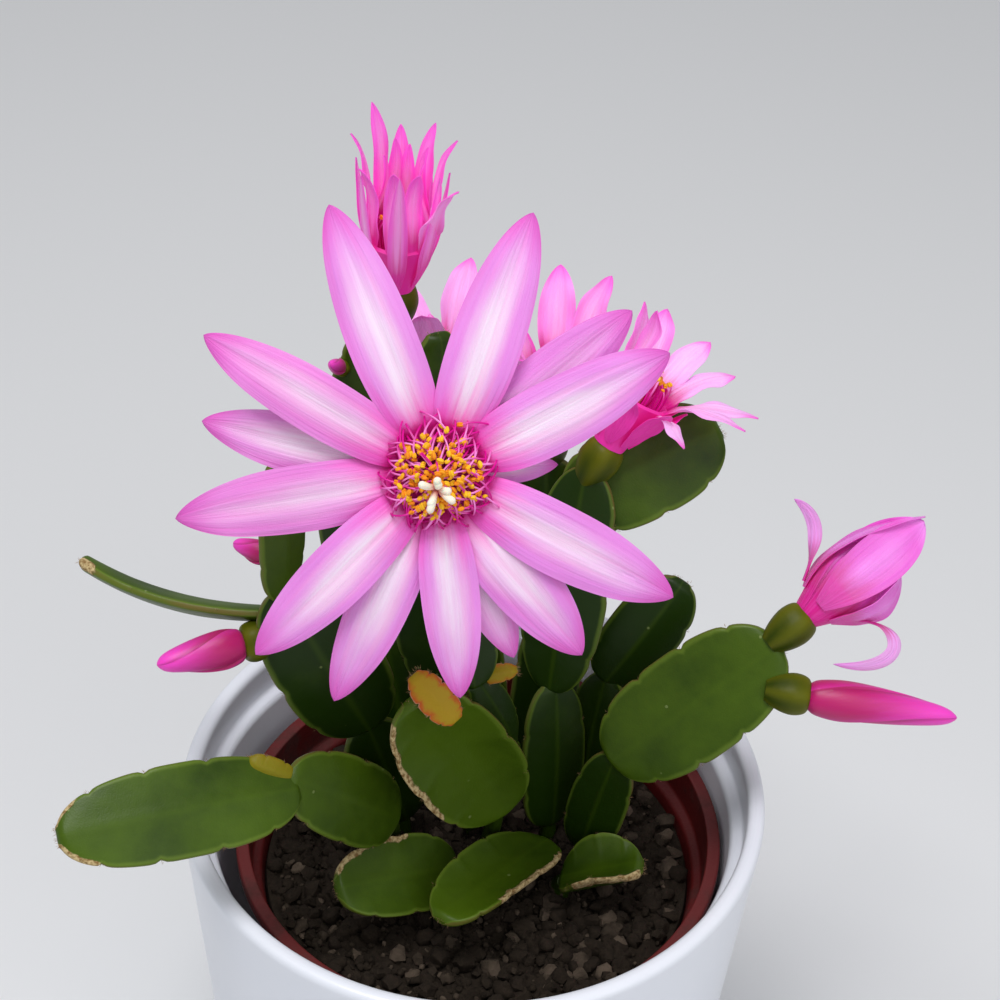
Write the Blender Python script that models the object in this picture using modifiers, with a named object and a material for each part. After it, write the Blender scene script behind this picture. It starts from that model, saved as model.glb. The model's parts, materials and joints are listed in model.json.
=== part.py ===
"""A potted Easter cactus: leafy stems of flat scalloped segments, open pink blooms, a half-open one
and buds, growing in a plastic nursery pot of soil that stands inside a glazed cachepot.

Run with: blender --background --python part.py
The scene is in metres, +Z up. The origin is the centre of the cachepot's flat foot. Sizes in the
tables below are millimetres, which MM turns into metres. The front of the plant looks along -Y.
"""

import math
import random
from collections import namedtuple

import bmesh
import bpy
from mathutils import Matrix, Vector, noise

MM = 0.001
GAP = 0.3  # clearance between pieces that touch
WELD = 0.000001  # metres: points of a rod's cap this close are one point
SMOOTH_ANGLE = 40.0  # edges sharper than this many degrees stay sharp
GOLDEN_ANGLE = 137.508  # degrees from one stamen to the next

# The cachepot
POT_HEIGHT = 86.0
POT_RIM_RADIUS = 48.0
POT_FOOT_RADIUS = 42.0
POT_WALL = 4.7
POT_FLOOR = 5.5
POT_LIP_RADIUS = 1.5
POT_LIP_WALL = 3.0
POT_LEDGE_DEPTH = 7.0
POT_LEDGE_RADIUS = 42.8
POT_LEDGE_ROUND = 0.8
POT_INNER_CORNER = 4.0
POT_FOOT_ROUND = 1.6
POT_STEPS = 40

# The nursery pot, which stands loose in the cachepot, a little off its centre
NURSERY_CENTRE = (1.1, 0.4)
NURSERY_RIM_RADIUS = 40.6
NURSERY_TOP = 74.5
NURSERY_BAND = 8.0
NURSERY_FOOT_RADIUS = 29.0
NURSERY_WALL = 1.1
NURSERY_FLOOR = 1.4
NURSERY_SHOULDER_RADIUS = 38.6
NURSERY_SHOULDER_STEP = 1.0
NURSERY_LIP_HEIGHT = 2.2
NURSERY_STEPS = 28

# The soil and the plain holes in it that the stems stand in
SOIL_TOP = 65.0
SOIL_RELIEF = 1.5
SOIL_MOUND = 2.0
SOIL_RINGS = 6
ROOT_DEPTH = 12.0
ROOT_RADIUS = 2.1
ROOT_LEAN_HEIGHT = 4.0
HOLE_CLEARANCE = 0.4
HOLE_HEIGHT = 30.0
HOLE_SIDES = 8

# Stem segments
PAD_THICKNESS = 2.5
PAD_MARGIN_SHARE = 0.4
PAD_NECK_WIDTH = 4.2
PAD_NECK_SHARE = 0.55  # a small segment's neck as a share of its width
PAD_SUNK = 1.6
PAD_NOTCH = 0.055

# Flowers
PETAL_THICKNESS = 0.7
PETAL_MARGIN_SHARE = 0.9
PETAL_ROOT_SHARE = 0.25  # a petal's width at its root and its tip, as shares of its widest
PETAL_TIP_SHARE = 0.15
PETAL_WIDEST_AT = 0.56
PETAL_BACK = 0.08  # how far its margins bend back, as a share of its half width
MAIN_ROWS = 7
HALF_OPEN_ROWS = 5
FEWEST_ROWS = 4
NARROW_PETAL = 4.1  # petals up to this width get the fewest rows
TUBE_LENGTH = 9.0
TUBE_FLOOR = -7.4
TUBE_WAIST = -4.0
TUBE_STEPS = 10
TUBE_FOOT_RADIUS = 2.6
TUBE_FLARE = 2.5
TUBE_WALL = 0.9
ROOT_RING_RADIUS = 4.3
PLUG_TOP = -3.0
PLUG_CLEARANCE = 0.5
PLUG_STEPS = 8
OVARY_LENGTH = 5.5
OVARY_SUNK = 2.0
OVARY_STEPS = 6
OVARY_FOOT_RADIUS = 2.3
OVARY_TOP_RADIUS = 3.2
FILAMENT_RADIUS = 0.25
MAIN_STAMEN_REACH = 6.2
STAMEN_REACH = 3.4
ANTHER_LENGTH = 1.3
ANTHER_RADIUS = 0.45
STYLE_RADIUS = 0.55
STYLE_TOP = 4.6
LOBE_RADIUS = 0.45
MAIN_LOBES = 5
LOBES = 3
SEED = 11

# Buds: radius and height of their outline from the foot to the blunt tip, as shares of the widest
# radius and of the length
BUD_OUTLINE = [(0.35, 0.98), (0.52, 0.9), (0.72, 0.72), (0.92, 0.4), (1.0, 0.2), (0.86, 0.06), (0.68, 0)]
BUD_STEPS = 8
SMALL_BUD_STEPS = 6
SMALL_BUD_RADIUS = 2.0

# Most segments look towards the front and up, which is this direction
FRONT_UP = (0.0, -0.79, 0.62)

# One flat segment: where it starts and ends, how wide it is, which way its face looks, how far its
# middle bulges that way, how far its two margins curl up that way, how many lobes each margin has,
# and how many columns of faces it is made of.
Pad = namedtuple("Pad", "base tip width facing arch cup lobes columns")


def pad(base, tip, width, facing=FRONT_UP, arch=1.0, cup=0.0, lobes=4, columns=2):
    return Pad(Vector(base), Vector(tip), width, Vector(facing), arch, cup, lobes, columns)


# Each stem: where it leaves the soil, its segments from the lowest up, and the ovaries on them.
Stem = namedtuple("Stem", "root pads ovaries")

STEMS = {
    "stem_left_arm": Stem(
        (-13.0, -1.0),
        [
            pad((-13.2, -8.8, 85.5), (-28.0, -20.5, 105.5), 13.5, (0.25, -0.65, 0.7), 1.2, 0.8, 4, 4),
            pad((-27.6, -21.5, 103.5), (-59.8, -35.7, 106.5), 14.2, (0, -0.62, 0.78), 1.6, 0.8, 5, 4),
        ],
        [],
    ),
    "stem_front_left": Stem(
        (-2.0, -4.0),
        [pad((-3.2, -7.6, 72.6), (-21.0, -20.2, 80.4), 13, (0.05, -0.58, 0.81), 0.0, 2.5, 4, 4)],
        [],
    ),
    "stem_front": Stem(
        (11.5, -1.0),
        [pad((12.2, -2.8, 73.5), (-4.3, -24.3, 79), 12.6, (-0.35, -0.38, 0.86), 0.0, 3.2, 5, 4)],
        [],
    ),
    "stem_front_right": Stem(
        (15.2, -6.2),
        [pad((16.4, -8.2, 71.5), (28.4, -9.2, 77.0), 11, (-0.25, 0.1, 0.96), 0.0, 4.0, 4, 4)],
        [],
    ),
    "stem_centre": Stem(
        (3.0, 3.0),
        [pad((4.6, -6.1, 86), (-10.0, -13.2, 115.5), 17.4, (0.15, -0.85, 0.5), -2.2, 4.2, 4, 4)],
        [],
    ),
    "stem_bloom_front": Stem(
        (0.0, 6.0),
        [
            pad((0.0, 6.0, 70), (5.2, 2.5, 92), 10, (0.7, -0.6, 0.2), 0.5, 0, 3),
            pad((5.2, 2.5, 92), (-1.0, -6.0, 114), 8, (0.75, -0.6, 0.3), 0.8, 0, 3),
            pad((-1.0, -6.0, 114), (-4.5, -3.5, 135), 10, (0.3, -0.9, 0.1), 0.8, 0, 3),
            pad((-4.5, -3.5, 135), (-7.2, -4.2, 155), 11, (0.2, -0.9, -0.1), 0.8, 0, 3),
        ],
        ["bloom_front"],
    ),
    "stem_right_back": Stem(
        (13.0, 6.5),
        [
            pad((13.0, 6.5, 71), (12.0, 9.0, 100), 12, (0.5, -0.85, 0.1), 1.0, 0, 3),
            pad((12.0, 9.0, 100), (15.5, 17.5, 138), 14, (-0.3, -0.85, 0.35), 1.0),
            pad((14.0, 17.5, 131), (36.0, 24.9, 141.5), 16.4, (0.0, -0.79, 0.62), 1.0, 0.5, 4, 4),
        ],
        ["bloom_right"],
    ),
    "stem_right": Stem(
        (19.0, 1.0),
        [
            pad((19.0, 1.0, 71), (23.0, -0.8, 94), 10, (-0.3, -0.85, 0.3), 0.8, 0, 3),
            pad((23.0, -1.2, 94), (46.6, 2.4, 117), 18.0, (-0.1, -0.79, 0.6), 1.2, 0.6, 5, 4),
        ],
        ["bloom_half_open", "bud_right"],
    ),
    "stem_right_inner": Stem(
        (19.3, 11.8),
        [
            pad((19.3, 11.8, 71), (21.5, 12.8, 99), 11, (-0.5, -0.8, 0.3), 1.0, 0, 3),
            pad((21.5, 12.8, 99), (32.0, 15.1, 118), 12, (0.1, -0.79, 0.6), 1.0, 0, 3),
        ],
        [],
    ),
    "stem_left_high": Stem(
        (-12.0, 6.0),
        [
            pad((-12.0, 6.0, 71), (-17.9, -0.3, 98), 13, (0.3, -0.85, 0.4), 1.0, 0, 3),
            pad((-17.9, -0.3, 98), (-30.7, -1.9, 127), 17, (0.05, -0.79, 0.6), 1.5, 0.5, 4, 4),
            pad((-30.7, -1.9, 127), (-31.0, 2.0, 148), 9, (0.75, -0.6, 0.2), 0.8, 0, 3),
            pad((-31.5, -0.8, 121.5), (-62.6, 6.3, 123.5), 7.5, (0.05, 0.62, 0.78), -2.5, 0.0, 3),
        ],
        ["bud_left", "bud_left_small"],
    ),
    "stem_back_tip": Stem(
        (-3.0, 12.0),
        [
            pad((-3.0, 12.0, 71), (-5.5, 14.0, 93), 15, (0.2, -0.95, 0.1), 1.0, 0, 3),
            pad((-5.5, 14.0, 93), (-7.0, 18.0, 127), 17, (-0.2, -0.95, 0.1), 1.0),
            pad((-7.0, 18.0, 127), (-8.6, 21.7, 159), 11, (0.4, -0.85, 0.2), 1.0, 0, 3),
        ],
        [],
    ),
    "stem_bloom_top": Stem(
        (-11.0, 15.0),
        [
            pad((-11.0, 15.0, 71), (-17.0, 22.0, 101), 16, (0.1, -0.95, 0.2), 1.0, 0, 3),
            pad((-17.0, 22.0, 101), (-22.5, 26.5, 130), 15, (-0.2, -0.9, 0.3), 1.0, 0, 3),
            pad((-22.5, 26.5, 130), (-16.0, 27.5, 158), 13, (0.1, -0.9, 0.3), 1.0, 0, 3),
        ],
        ["bloom_top", "bud_top"],
    ),
    "stem_bloom_back": Stem(
        (0.0, 20.0),
        [
            pad((0.0, 20.0, 71), (-4.0, 31.0, 100), 13, (0.1, -0.95, 0.2), 1.0, 0, 3),
            pad((-4.0, 31.0, 100), (-7.5, 38.0, 127.5), 15, (0.2, -0.9, 0.3), 1.0, 0, 3),
        ],
        ["bloom_back"],
    ),
    "stem_bloom_middle": Stem(
        (10.0, 16.0),
        [
            pad((10.0, 16.0, 71), (12.0, 25.0, 102), 12, (0.2, -0.95, 0.2), 1.0, 0, 3),
            pad((12.0, 25.0, 102), (9.5, 29.0, 131.5), 14, (-0.3, -0.9, 0.3), 1.0, 0, 3),
        ],
        ["bloom_middle"],
    ),
}

# Young yellow segments: the segment, and the stem that it grows from.
YOUNG_PADS = {
    "young_pad_left": (
        "stem_left_arm",
        pad((-28.5, -20.0, 105.5), (-34.0, -20.4, 108.5), 4.0, FRONT_UP, 0.4, 0, 2),
    ),
    "young_pad_centre": (
        "stem_centre",
        pad((-4.0, -13.4, 113.5), (-9.8, -11.0, 119), 5.2, (0, -0.75, 0.65), 0.6, 0.4, 3),
    ),
    "young_pad_back": (
        "stem_bloom_front",
        pad((0.8, -3.6, 112.5), (6.0, -2.8, 113.5), 3.0, FRONT_UP, 0.3, 0, 2),
    ),
}

# Each petal: its turn about the flower's axis, its width, and the four points of the curve that its
# middle line follows, as (distance from the axis, height above the mouth).
Petal = namedtuple("Petal", "turn width knots")


def open_petal(turn, length, opening, width, lift, curl=14.0):
    """A petal that leaves the mouth and opens to an angle from the axis (90 lies flat), in front of
    or behind its neighbours by its lift, with its tip bent back by the curl."""
    end_turn = math.radians(opening)
    end_bend = math.radians(opening + curl)
    root = (ROOT_RING_RADIUS - 0.3 * lift, -1.5)
    leave = (root[0] + 1.2, 2.4 + lift)
    end = (length * math.sin(end_turn), length * math.cos(end_turn) + lift)
    near = (end[0] - 0.38 * length * math.sin(end_bend), end[1] - 0.38 * length * math.cos(end_bend))
    return Petal(turn, width, (root, leave, near, end))


FRONT_PETALS = [
    open_petal(114.5, 38.5, 92, 9.3, 0.8),
    open_petal(72.5, 37.0, 92, 9.6, 0.8),
    open_petal(42.0, 34.0, 94, 9.0, -0.3),
    open_petal(30.0, 35.0, 91, 9.8, 0.8),
    open_petal(-26.0, 36.5, 92, 9.8, 0.8),
    open_petal(-50.0, 32.5, 93, 9.6, -0.1),
    open_petal(-66.0, 28.8, 96, 7.0, -1.1),
    open_petal(-82.0, 31.5, 92, 8.0, 0.8),
    open_petal(-111.5, 35.5, 94, 8.4, -0.3),
    open_petal(-132.5, 35.2, 91, 8.8, 0.8),
    open_petal(-167.0, 36.2, 93, 9.3, -0.2),
    open_petal(171.0, 32.8, 96, 8.4, -1.2),
    open_petal(151.5, 36.2, 92, 8.4, 0.8),
    open_petal(-148.0, 16.5, 104, 4.0, -1.9),
    open_petal(3.0, 17.0, 104, 4.0, -1.9),
]


def whorls(count, length, opening, width, first_turn=0.0, spread=14.0):
    """Petals in two whorls: every other one is shorter, wider open and behind."""
    dice = random.Random(count * 100 + round(length))
    petals = []
    for index in range(count):
        outer = index % 2
        petals.append(
            open_petal(
                first_turn + 360 * index / count + dice.uniform(-4, 4),
                length * (0.94 if outer else 1.0) * dice.uniform(0.95, 1.03),
                opening + (spread if outer else 0) + dice.uniform(-4, 4),
                width * dice.uniform(0.92, 1.05),
                -0.6 if outer else 0.5,
            )
        )
    return petals


TOP_PETALS = [
    open_petal(135, 20.6, 20, 4.2, 0.4),
    open_petal(180, 19.4, 23, 4.0, -0.5),
    open_petal(98, 17.6, 17, 4.2, -0.5),
    open_petal(53, 18.5, 23, 4.2, -0.5),
    open_petal(10, 18.0, 26, 4.2, 0.4),
    open_petal(-26, 17.0, 40, 5.2, -0.5),
    open_petal(-62, 15.0, 22, 4.2, 0.4),
    open_petal(-100, 16.0, 20, 4.4, -0.5),
    open_petal(-142, 16.0, 28, 4.2, 0.4),
]

RIGHT_PETALS = [
    open_petal(24, 16.0, 58, 4.6, 0.4),
    open_petal(-4, 18.8, 68, 4.8, -0.5),
    open_petal(-24, 17.4, 74, 4.2, 0.4),
    open_petal(-46, 12.0, 92, 3.6, -0.9),
    open_petal(56, 17.0, 50, 5.0, -0.5),
    open_petal(96, 16.0, 46, 5.0, 0.4),
    open_petal(150, 15.0, 30, 5.0, -0.5),
    open_petal(205, 14.5, 24, 4.8, 0.4),
]

# Each bloom: the foot of its ovary on the stem, which way its axis looks, its petals, and how many
# stamens it shows.
Bloom = namedtuple("Bloom", "foot axis petals stamens")

BLOOMS = {
    "bloom_front": Bloom((-7.1, -5.8, 156.4), (0.04, -0.88, 0.47), FRONT_PETALS, 17),
    "bloom_top": Bloom((-15.3, 27.9, 158.0), (0.03, -0.08, 1.0), TOP_PETALS, 4),
    "bloom_right": Bloom((15.9, 17.6, 137.0), (0.46, 0.25, 0.85), RIGHT_PETALS, 5),
    "bloom_back": Bloom((-7.5, 38.0, 127.0), (-0.12, 0.16, 0.98), whorls(7, 18, 44, 6.6, 64, 10), 4),
    "bloom_middle": Bloom((9.4, 29.2, 131.0), (0.0, 0.06, 1.0), whorls(7, 18, 34, 6.2, 90, 12), 4),
}

# The half-open flower at the right: furled petals on a closed core, and two that have curled back.
HALF_OPEN = Bloom(
    (46.4, 2.8, 117.9),
    (0.75, 0.38, 0.54),
    [
        Petal(180, 8.6, ((3.6, -6.5), (6.9, -0.5), (6.0, 6.0), (0.9, 13.4))),
        Petal(264, 8.4, ((3.6, -6.5), (7.4, -0.5), (5.2, 6.5), (0.9, 12.8))),
        Petal(96, 8.4, ((3.6, -6.5), (7.2, -0.5), (5.0, 6.5), (1.0, 13.0))),
        Petal(-32, 7.6, ((3.4, -6.8), (6.0, -2.4), (8.8, 0.8), (4.6, 6.2))),
        Petal(38, 7.6, ((3.4, -6.8), (6.0, -2.4), (8.4, 0.8), (4.2, 6.8))),
        Petal(178, 3.0, ((4.4, -6.0), (7.4, -1.0), (10.2, 2.8), (15.3, 0.8))),
        Petal(-14, 3.0, ((4.6, -5.0), (9.4, 3.6), (18.4, -1.8), (8.6, -10.5))),
    ],
    0,
)
# The core's outline, as (radius, height above the mouth).
HALF_OPEN_CORE = [
    (0, 12.6),
    (0.9, 11.6),
    (2.6, 7.6),
    (4.3, 3.6),
    (5.2, -0.4),
    (4.5, -4.0),
    (3.1, -7.4),
    (2.4, -TUBE_LENGTH),
    (0, -TUBE_LENGTH),
]
HALF_OPEN_STEPS = 8

# Each bud: the foot of its ovary, its tip, its widest radius, and the length of its ovary.
Bud = namedtuple("Bud", "foot tip radius ovary")

BUDS = {
    "bud_right": Bud((46.6, -2.0, 110.8), (74.7, -4.8, 109.6), 3.2, 5.0),
    "bud_left": Bud((-32.5, -3.6, 118.2), (-48.5, -10.8, 118.2), 3.1, 4.0),
    "bud_left_small": Bud((-30.5, 0.5, 130.5), (-38.2, 2.8, 131.6), 1.9, 2.2),
    "bud_top": Bud((-23.3, 26.0, 148.5), (-24.8, 21.0, 152.8), 1.3, 2.0),
}

COLOURS = {
    "glaze": ((0.80, 0.82, 0.86), 0.35),
    "terracotta_plastic": ((0.22, 0.045, 0.03), 0.5),
    "soil": ((0.035, 0.028, 0.024), 0.95),
    "stem": ((0.07, 0.17, 0.025), 0.4),
    "young": ((0.55, 0.40, 0.04), 0.45),
    "petal": ((0.82, 0.40, 0.80), 0.5),
    "deep_petal": ((0.85, 0.14, 0.55), 0.5),
    "bud": ((0.72, 0.05, 0.36), 0.45),
    "stamen": ((0.62, 0.02, 0.36), 0.5),
    "stigma": ((0.95, 0.88, 0.78), 0.5),
}


def clear_scene():
    for leftover in list(bpy.data.objects):
        bpy.data.objects.remove(leftover)


def material(name):
    found = bpy.data.materials.get(name)
    if found:
        return found
    colour, roughness = COLOURS[name]
    made = bpy.data.materials.new(name)
    made.use_nodes = True
    shader = made.node_tree.nodes["Principled BSDF"]
    shader.inputs["Base Color"].default_value = (*colour, 1)
    shader.inputs["Roughness"].default_value = roughness
    shader.inputs["Metallic"].default_value = 0.0
    return made


def collection(name):
    made = bpy.data.collections.new(name)
    bpy.context.scene.collection.children.link(made)
    return made


def place(name, mesh, where, finish):
    """A new object with this mesh, in a collection, with its finish."""
    made = bpy.data.objects.new(name, mesh)
    where.objects.link(made)
    made.data.materials.clear()
    made.data.materials.append(material(finish))
    return made


def evaluated_mesh(source):
    """The object's mesh with its modifiers applied."""
    bpy.context.view_layer.update()
    graph = bpy.context.evaluated_depsgraph_get()
    return bpy.data.meshes.new_from_object(source.evaluated_get(graph))


def boolean(body, others, operation):
    """The body joined with, or cut by, all the others, which are then removed."""
    helpers = collection("helpers")
    for other in others:
        for holder in list(other.users_collection):
            holder.objects.unlink(other)
        helpers.objects.link(other)
    step = body.modifiers.new("Boolean", "BOOLEAN")
    step.operand_type = "COLLECTION"
    step.collection = helpers
    step.operation = operation
    step.solver = "EXACT"
    finished = evaluated_mesh(body)
    body.modifiers.clear()
    body.data = finished
    for other in others:
        bpy.data.objects.remove(other)
    bpy.data.collections.remove(helpers)
    drop_scraps(body.data)
    return body


def drop_scraps(mesh):
    """Keeps the largest body of a mesh, without the scraps that a Boolean leaves beside it."""
    whole = bmesh.new()
    whole.from_mesh(mesh)
    left = set(whole.verts)
    islands = []
    while left:
        reached = [left.pop()]
        island = list(reached)
        while reached:
            for edge in reached.pop().link_edges:
                for vertex in edge.verts:
                    if vertex in left:
                        left.remove(vertex)
                        reached.append(vertex)
                        island.append(vertex)
        islands.append(island)
    islands.sort(key=len)
    for scrap in islands[:-1]:
        bmesh.ops.delete(whole, geom=scrap, context="VERTS")
    whole.to_mesh(mesh)
    whole.free()


def apply_modifiers(body):
    finished = evaluated_mesh(body)
    body.modifiers.clear()
    body.data = finished
    return body


def smooth(body):
    body.data.shade_smooth()
    body.data.set_sharp_from_angle(angle=math.radians(SMOOTH_ANGLE))


# Turned shapes


def turned(name, profile, steps, where, finish, centre=(0.0, 0.0)):
    """A turned solid: a profile of (radius, height) from the axis down its outer side to the axis."""
    mesh = bpy.data.meshes.new(name)
    outline = bmesh.new()
    corners = [outline.verts.new((r * MM, 0, z * MM)) for r, z in profile]
    for first, second in zip(corners, corners[1:]):
        outline.edges.new((first, second))
    outline.to_mesh(mesh)
    outline.free()
    made = place(name, mesh, where, finish)
    made.location = (centre[0] * MM, centre[1] * MM, 0)
    screw = made.modifiers.new("Turn", "SCREW")
    screw.steps = screw.render_steps = steps
    screw.use_merge_vertices = True
    screw.merge_threshold = 0.00001
    return made


def pot_outer_radius(height):
    return POT_FOOT_RADIUS + (POT_RIM_RADIUS - POT_FOOT_RADIUS) * height / POT_HEIGHT


def add_cachepot(where):
    """The glazed pot: a rounded lip, a ledge just inside it and a wall that tapers to a flat foot."""
    ledge = POT_HEIGHT - POT_LEDGE_DEPTH
    lip_inner = POT_RIM_RADIUS - POT_LIP_WALL
    profile = [
        (0, POT_FLOOR),
        (pot_outer_radius(POT_FLOOR) - POT_WALL - POT_INNER_CORNER, POT_FLOOR),
        (pot_outer_radius(POT_FLOOR) - POT_WALL, POT_FLOOR + POT_INNER_CORNER),
        (POT_LEDGE_RADIUS, ledge - POT_LEDGE_ROUND),
        (POT_LEDGE_RADIUS + POT_LEDGE_ROUND, ledge),
        (lip_inner - 0.5, ledge + 0.4),
        (lip_inner, POT_HEIGHT - POT_LIP_RADIUS),
        (lip_inner + 0.6, POT_HEIGHT - 0.4),
        (lip_inner + POT_LIP_RADIUS, POT_HEIGHT),
        (POT_RIM_RADIUS - 0.6, POT_HEIGHT - 0.4),
        (POT_RIM_RADIUS, POT_HEIGHT - POT_LIP_RADIUS),
        (POT_FOOT_RADIUS, POT_FOOT_ROUND),
        (POT_FOOT_RADIUS - POT_FOOT_ROUND, 0),
        (0, 0),
    ]
    smooth(turned("cachepot", profile, POT_STEPS, where, "glaze"))


def nursery_radius(height):
    """Outer radius of the nursery pot's tapered wall, below its rim band."""
    share = (height - POT_FLOOR - GAP) / (NURSERY_TOP - NURSERY_BAND - POT_FLOOR - GAP)
    top = NURSERY_SHOULDER_RADIUS - NURSERY_SHOULDER_STEP
    return NURSERY_FOOT_RADIUS + (top - NURSERY_FOOT_RADIUS) * share


def add_nursery_pot(where):
    """The thin plastic pot: a tapered wall and an outward step to the band under its rim."""
    foot = POT_FLOOR + GAP
    band = NURSERY_TOP - NURSERY_BAND
    rim_inner = NURSERY_RIM_RADIUS - 2 * NURSERY_WALL
    shoulder = nursery_radius(band)
    profile = [
        (0, foot + NURSERY_FLOOR),
        (NURSERY_FOOT_RADIUS - NURSERY_WALL - 0.4, foot + NURSERY_FLOOR),
        (shoulder - NURSERY_WALL, band),
        (rim_inner - 0.4, band + 1),
        (rim_inner, NURSERY_TOP),
        (NURSERY_RIM_RADIUS, NURSERY_TOP),
        (NURSERY_RIM_RADIUS, NURSERY_TOP - NURSERY_LIP_HEIGHT),
        (NURSERY_RIM_RADIUS - NURSERY_WALL, NURSERY_TOP - NURSERY_LIP_HEIGHT - 0.2),
        (NURSERY_SHOULDER_RADIUS, band),
        (shoulder, band - NURSERY_SHOULDER_STEP),
        (NURSERY_FOOT_RADIUS, foot),
        (0, foot),
    ]
    smooth(turned("nursery_pot", profile, NURSERY_STEPS, where, "terracotta_plastic", NURSERY_CENTRE))


def soil_height(x, y):
    """Height of the soil's lumpy top in millimetres, a little higher where the stems stand."""
    mound = SOIL_MOUND * math.exp(-(x * x + y * y) / 500)
    lumps = noise.noise(Vector((x * 0.15, y * 0.15, 3.1)))
    grain = noise.noise(Vector((x * 0.7, y * 0.7, 8.4)))
    return SOIL_TOP + mound + SOIL_RELIEF * (lumps + 0.5 * grain)


def add_soil(where):
    """The soil fills the nursery pot, with a lumpy top and a plain hole for each stem."""
    bottom = POT_FLOOR + GAP + NURSERY_FLOOR + GAP
    side = nursery_radius(SOIL_TOP) - NURSERY_WALL - GAP
    low_side = NURSERY_FOOT_RADIUS - NURSERY_WALL - 0.6 - GAP
    rings = [(side * ring / SOIL_RINGS, SOIL_TOP) for ring in range(SOIL_RINGS + 1)]
    profile = rings + [(low_side, bottom), (0, bottom)]
    soil = apply_modifiers(turned("soil", profile, NURSERY_STEPS, where, "soil", NURSERY_CENTRE))
    for vertex in soil.data.vertices:
        radius = math.hypot(vertex.co.x, vertex.co.y) / MM
        if vertex.co.z > (SOIL_TOP - 1) * MM:
            x, y = vertex.co.x / MM + NURSERY_CENTRE[0], vertex.co.y / MM + NURSERY_CENTRE[1]
            fade = 0.0 if radius > side - 0.1 else 1.0
            vertex.co.z = (SOIL_TOP + fade * (soil_height(x, y) - SOIL_TOP)) * MM
    cutters = []
    for name, stem in STEMS.items():
        centre = Vector((*stem.root, SOIL_TOP - ROOT_DEPTH - GAP + HOLE_HEIGHT / 2))
        mesh = bpy.data.meshes.new(name + "_hole")
        hole = bmesh.new()
        bmesh.ops.create_cone(
            hole,
            cap_ends=True,
            segments=HOLE_SIDES,
            radius1=(ROOT_RADIUS + HOLE_CLEARANCE) * MM,
            radius2=(ROOT_RADIUS + HOLE_CLEARANCE) * MM,
            depth=HOLE_HEIGHT * MM,
            matrix=Matrix.Translation(centre * MM),
        )
        hole.to_mesh(mesh)
        hole.free()
        cutters.append(place(name + "_hole", mesh, where, "soil"))
    boolean(soil, cutters, "DIFFERENCE")


# Blades: stem segments and petals


def blade(name, rows, columns, point, thickness, margin_share, where, finish):
    """A thin closed blade. point(u, s) gives its middle surface in millimetres: u runs from root
    to tip and s from -1 to 1 across. It thins from the middle line to margin_share at its sides."""
    mesh = bpy.data.meshes.new(name)
    grid = bmesh.new()
    bmesh.ops.create_grid(grid, x_segments=columns, y_segments=rows, size=1)
    sides = []
    for vertex in grid.verts:
        s, u = vertex.co.x, (vertex.co.y + 1) / 2
        sides.append(1 - abs(s))
        vertex.co = point(u, s) * MM
    bmesh.ops.triangulate(grid, faces=grid.faces)
    grid.to_mesh(mesh)
    grid.free()
    made = place(name, mesh, where, finish)
    middle = made.vertex_groups.new(name="middle")
    for index, weight in enumerate(sides):
        middle.add([index], weight, "REPLACE")
    shell = made.modifiers.new("Thickness", "SOLIDIFY")
    shell.thickness = thickness * MM
    shell.offset = 0
    shell.vertex_group = "middle"
    shell.thickness_vertex_group = margin_share
    return apply_modifiers(made)


def pad_share(u, lobes):
    """Half width of a segment at u as a share of its widest, with a notch between its lobes."""
    body = (1 - abs(2 * pad_travel(u) - 1) ** 2.6) ** (1 / 2.3)
    notch = PAD_NOTCH * (1 - abs(math.sin(math.pi * lobes * u))) ** 2
    return body * (1 - notch)


def pad_travel(u):
    """Rows lie closer together at a segment's two ends."""
    return 0.5 * u + 0.5 * (1 - math.cos(math.pi * u)) / 2


def pad_point(shape, u, s, grow=0.0):
    """A point on a segment's middle surface; grow makes the segment larger all round."""
    t = pad_travel(u)
    run = shape.tip - shape.base
    along = run.normalized()
    facing = (shape.facing - along * shape.facing.dot(along)).normalized()
    across = along.cross(facing)
    neck = min(PAD_NECK_WIDTH, PAD_NECK_SHARE * shape.width)
    half = max(neck, shape.width * pad_share(u, shape.lobes)) / 2 + grow
    belly = 4 * t * (1 - t)
    lift = shape.arch * belly + shape.cup * belly * s * s
    start = shape.base - along * (PAD_SUNK * (1 - t)) + along * (grow * (2 * t - 1))
    return start + run * t + across * (s * half) + facing * lift


def add_pad(name, shape, where, finish, grow=0.0):
    """One segment. Where it grows, its thin margins grow as much as its middle."""
    thickness = PAD_THICKNESS + 2 * grow
    return blade(
        name,
        2 * shape.lobes,
        shape.columns,
        lambda u, s: pad_point(shape, u, s, grow),
        thickness,
        (PAD_THICKNESS * PAD_MARGIN_SHARE + 2 * grow) / thickness,
        where,
        finish,
    )


def aligned(start, direction, spin=0.0):
    """A matrix that puts +Z along direction, starting at a point in millimetres."""
    turn = direction.to_track_quat("Z", "Y").to_matrix().to_4x4()
    return Matrix.Translation(start * MM) @ turn @ Matrix.Rotation(spin, 4, "Z")


def turned_along(name, profile, steps, start, direction, where, finish):
    """A turned solid whose axis starts at a point and runs along a direction."""
    made = apply_modifiers(turned(name, profile, steps, where, finish))
    made.data.transform(aligned(start, direction))
    return made


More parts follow.
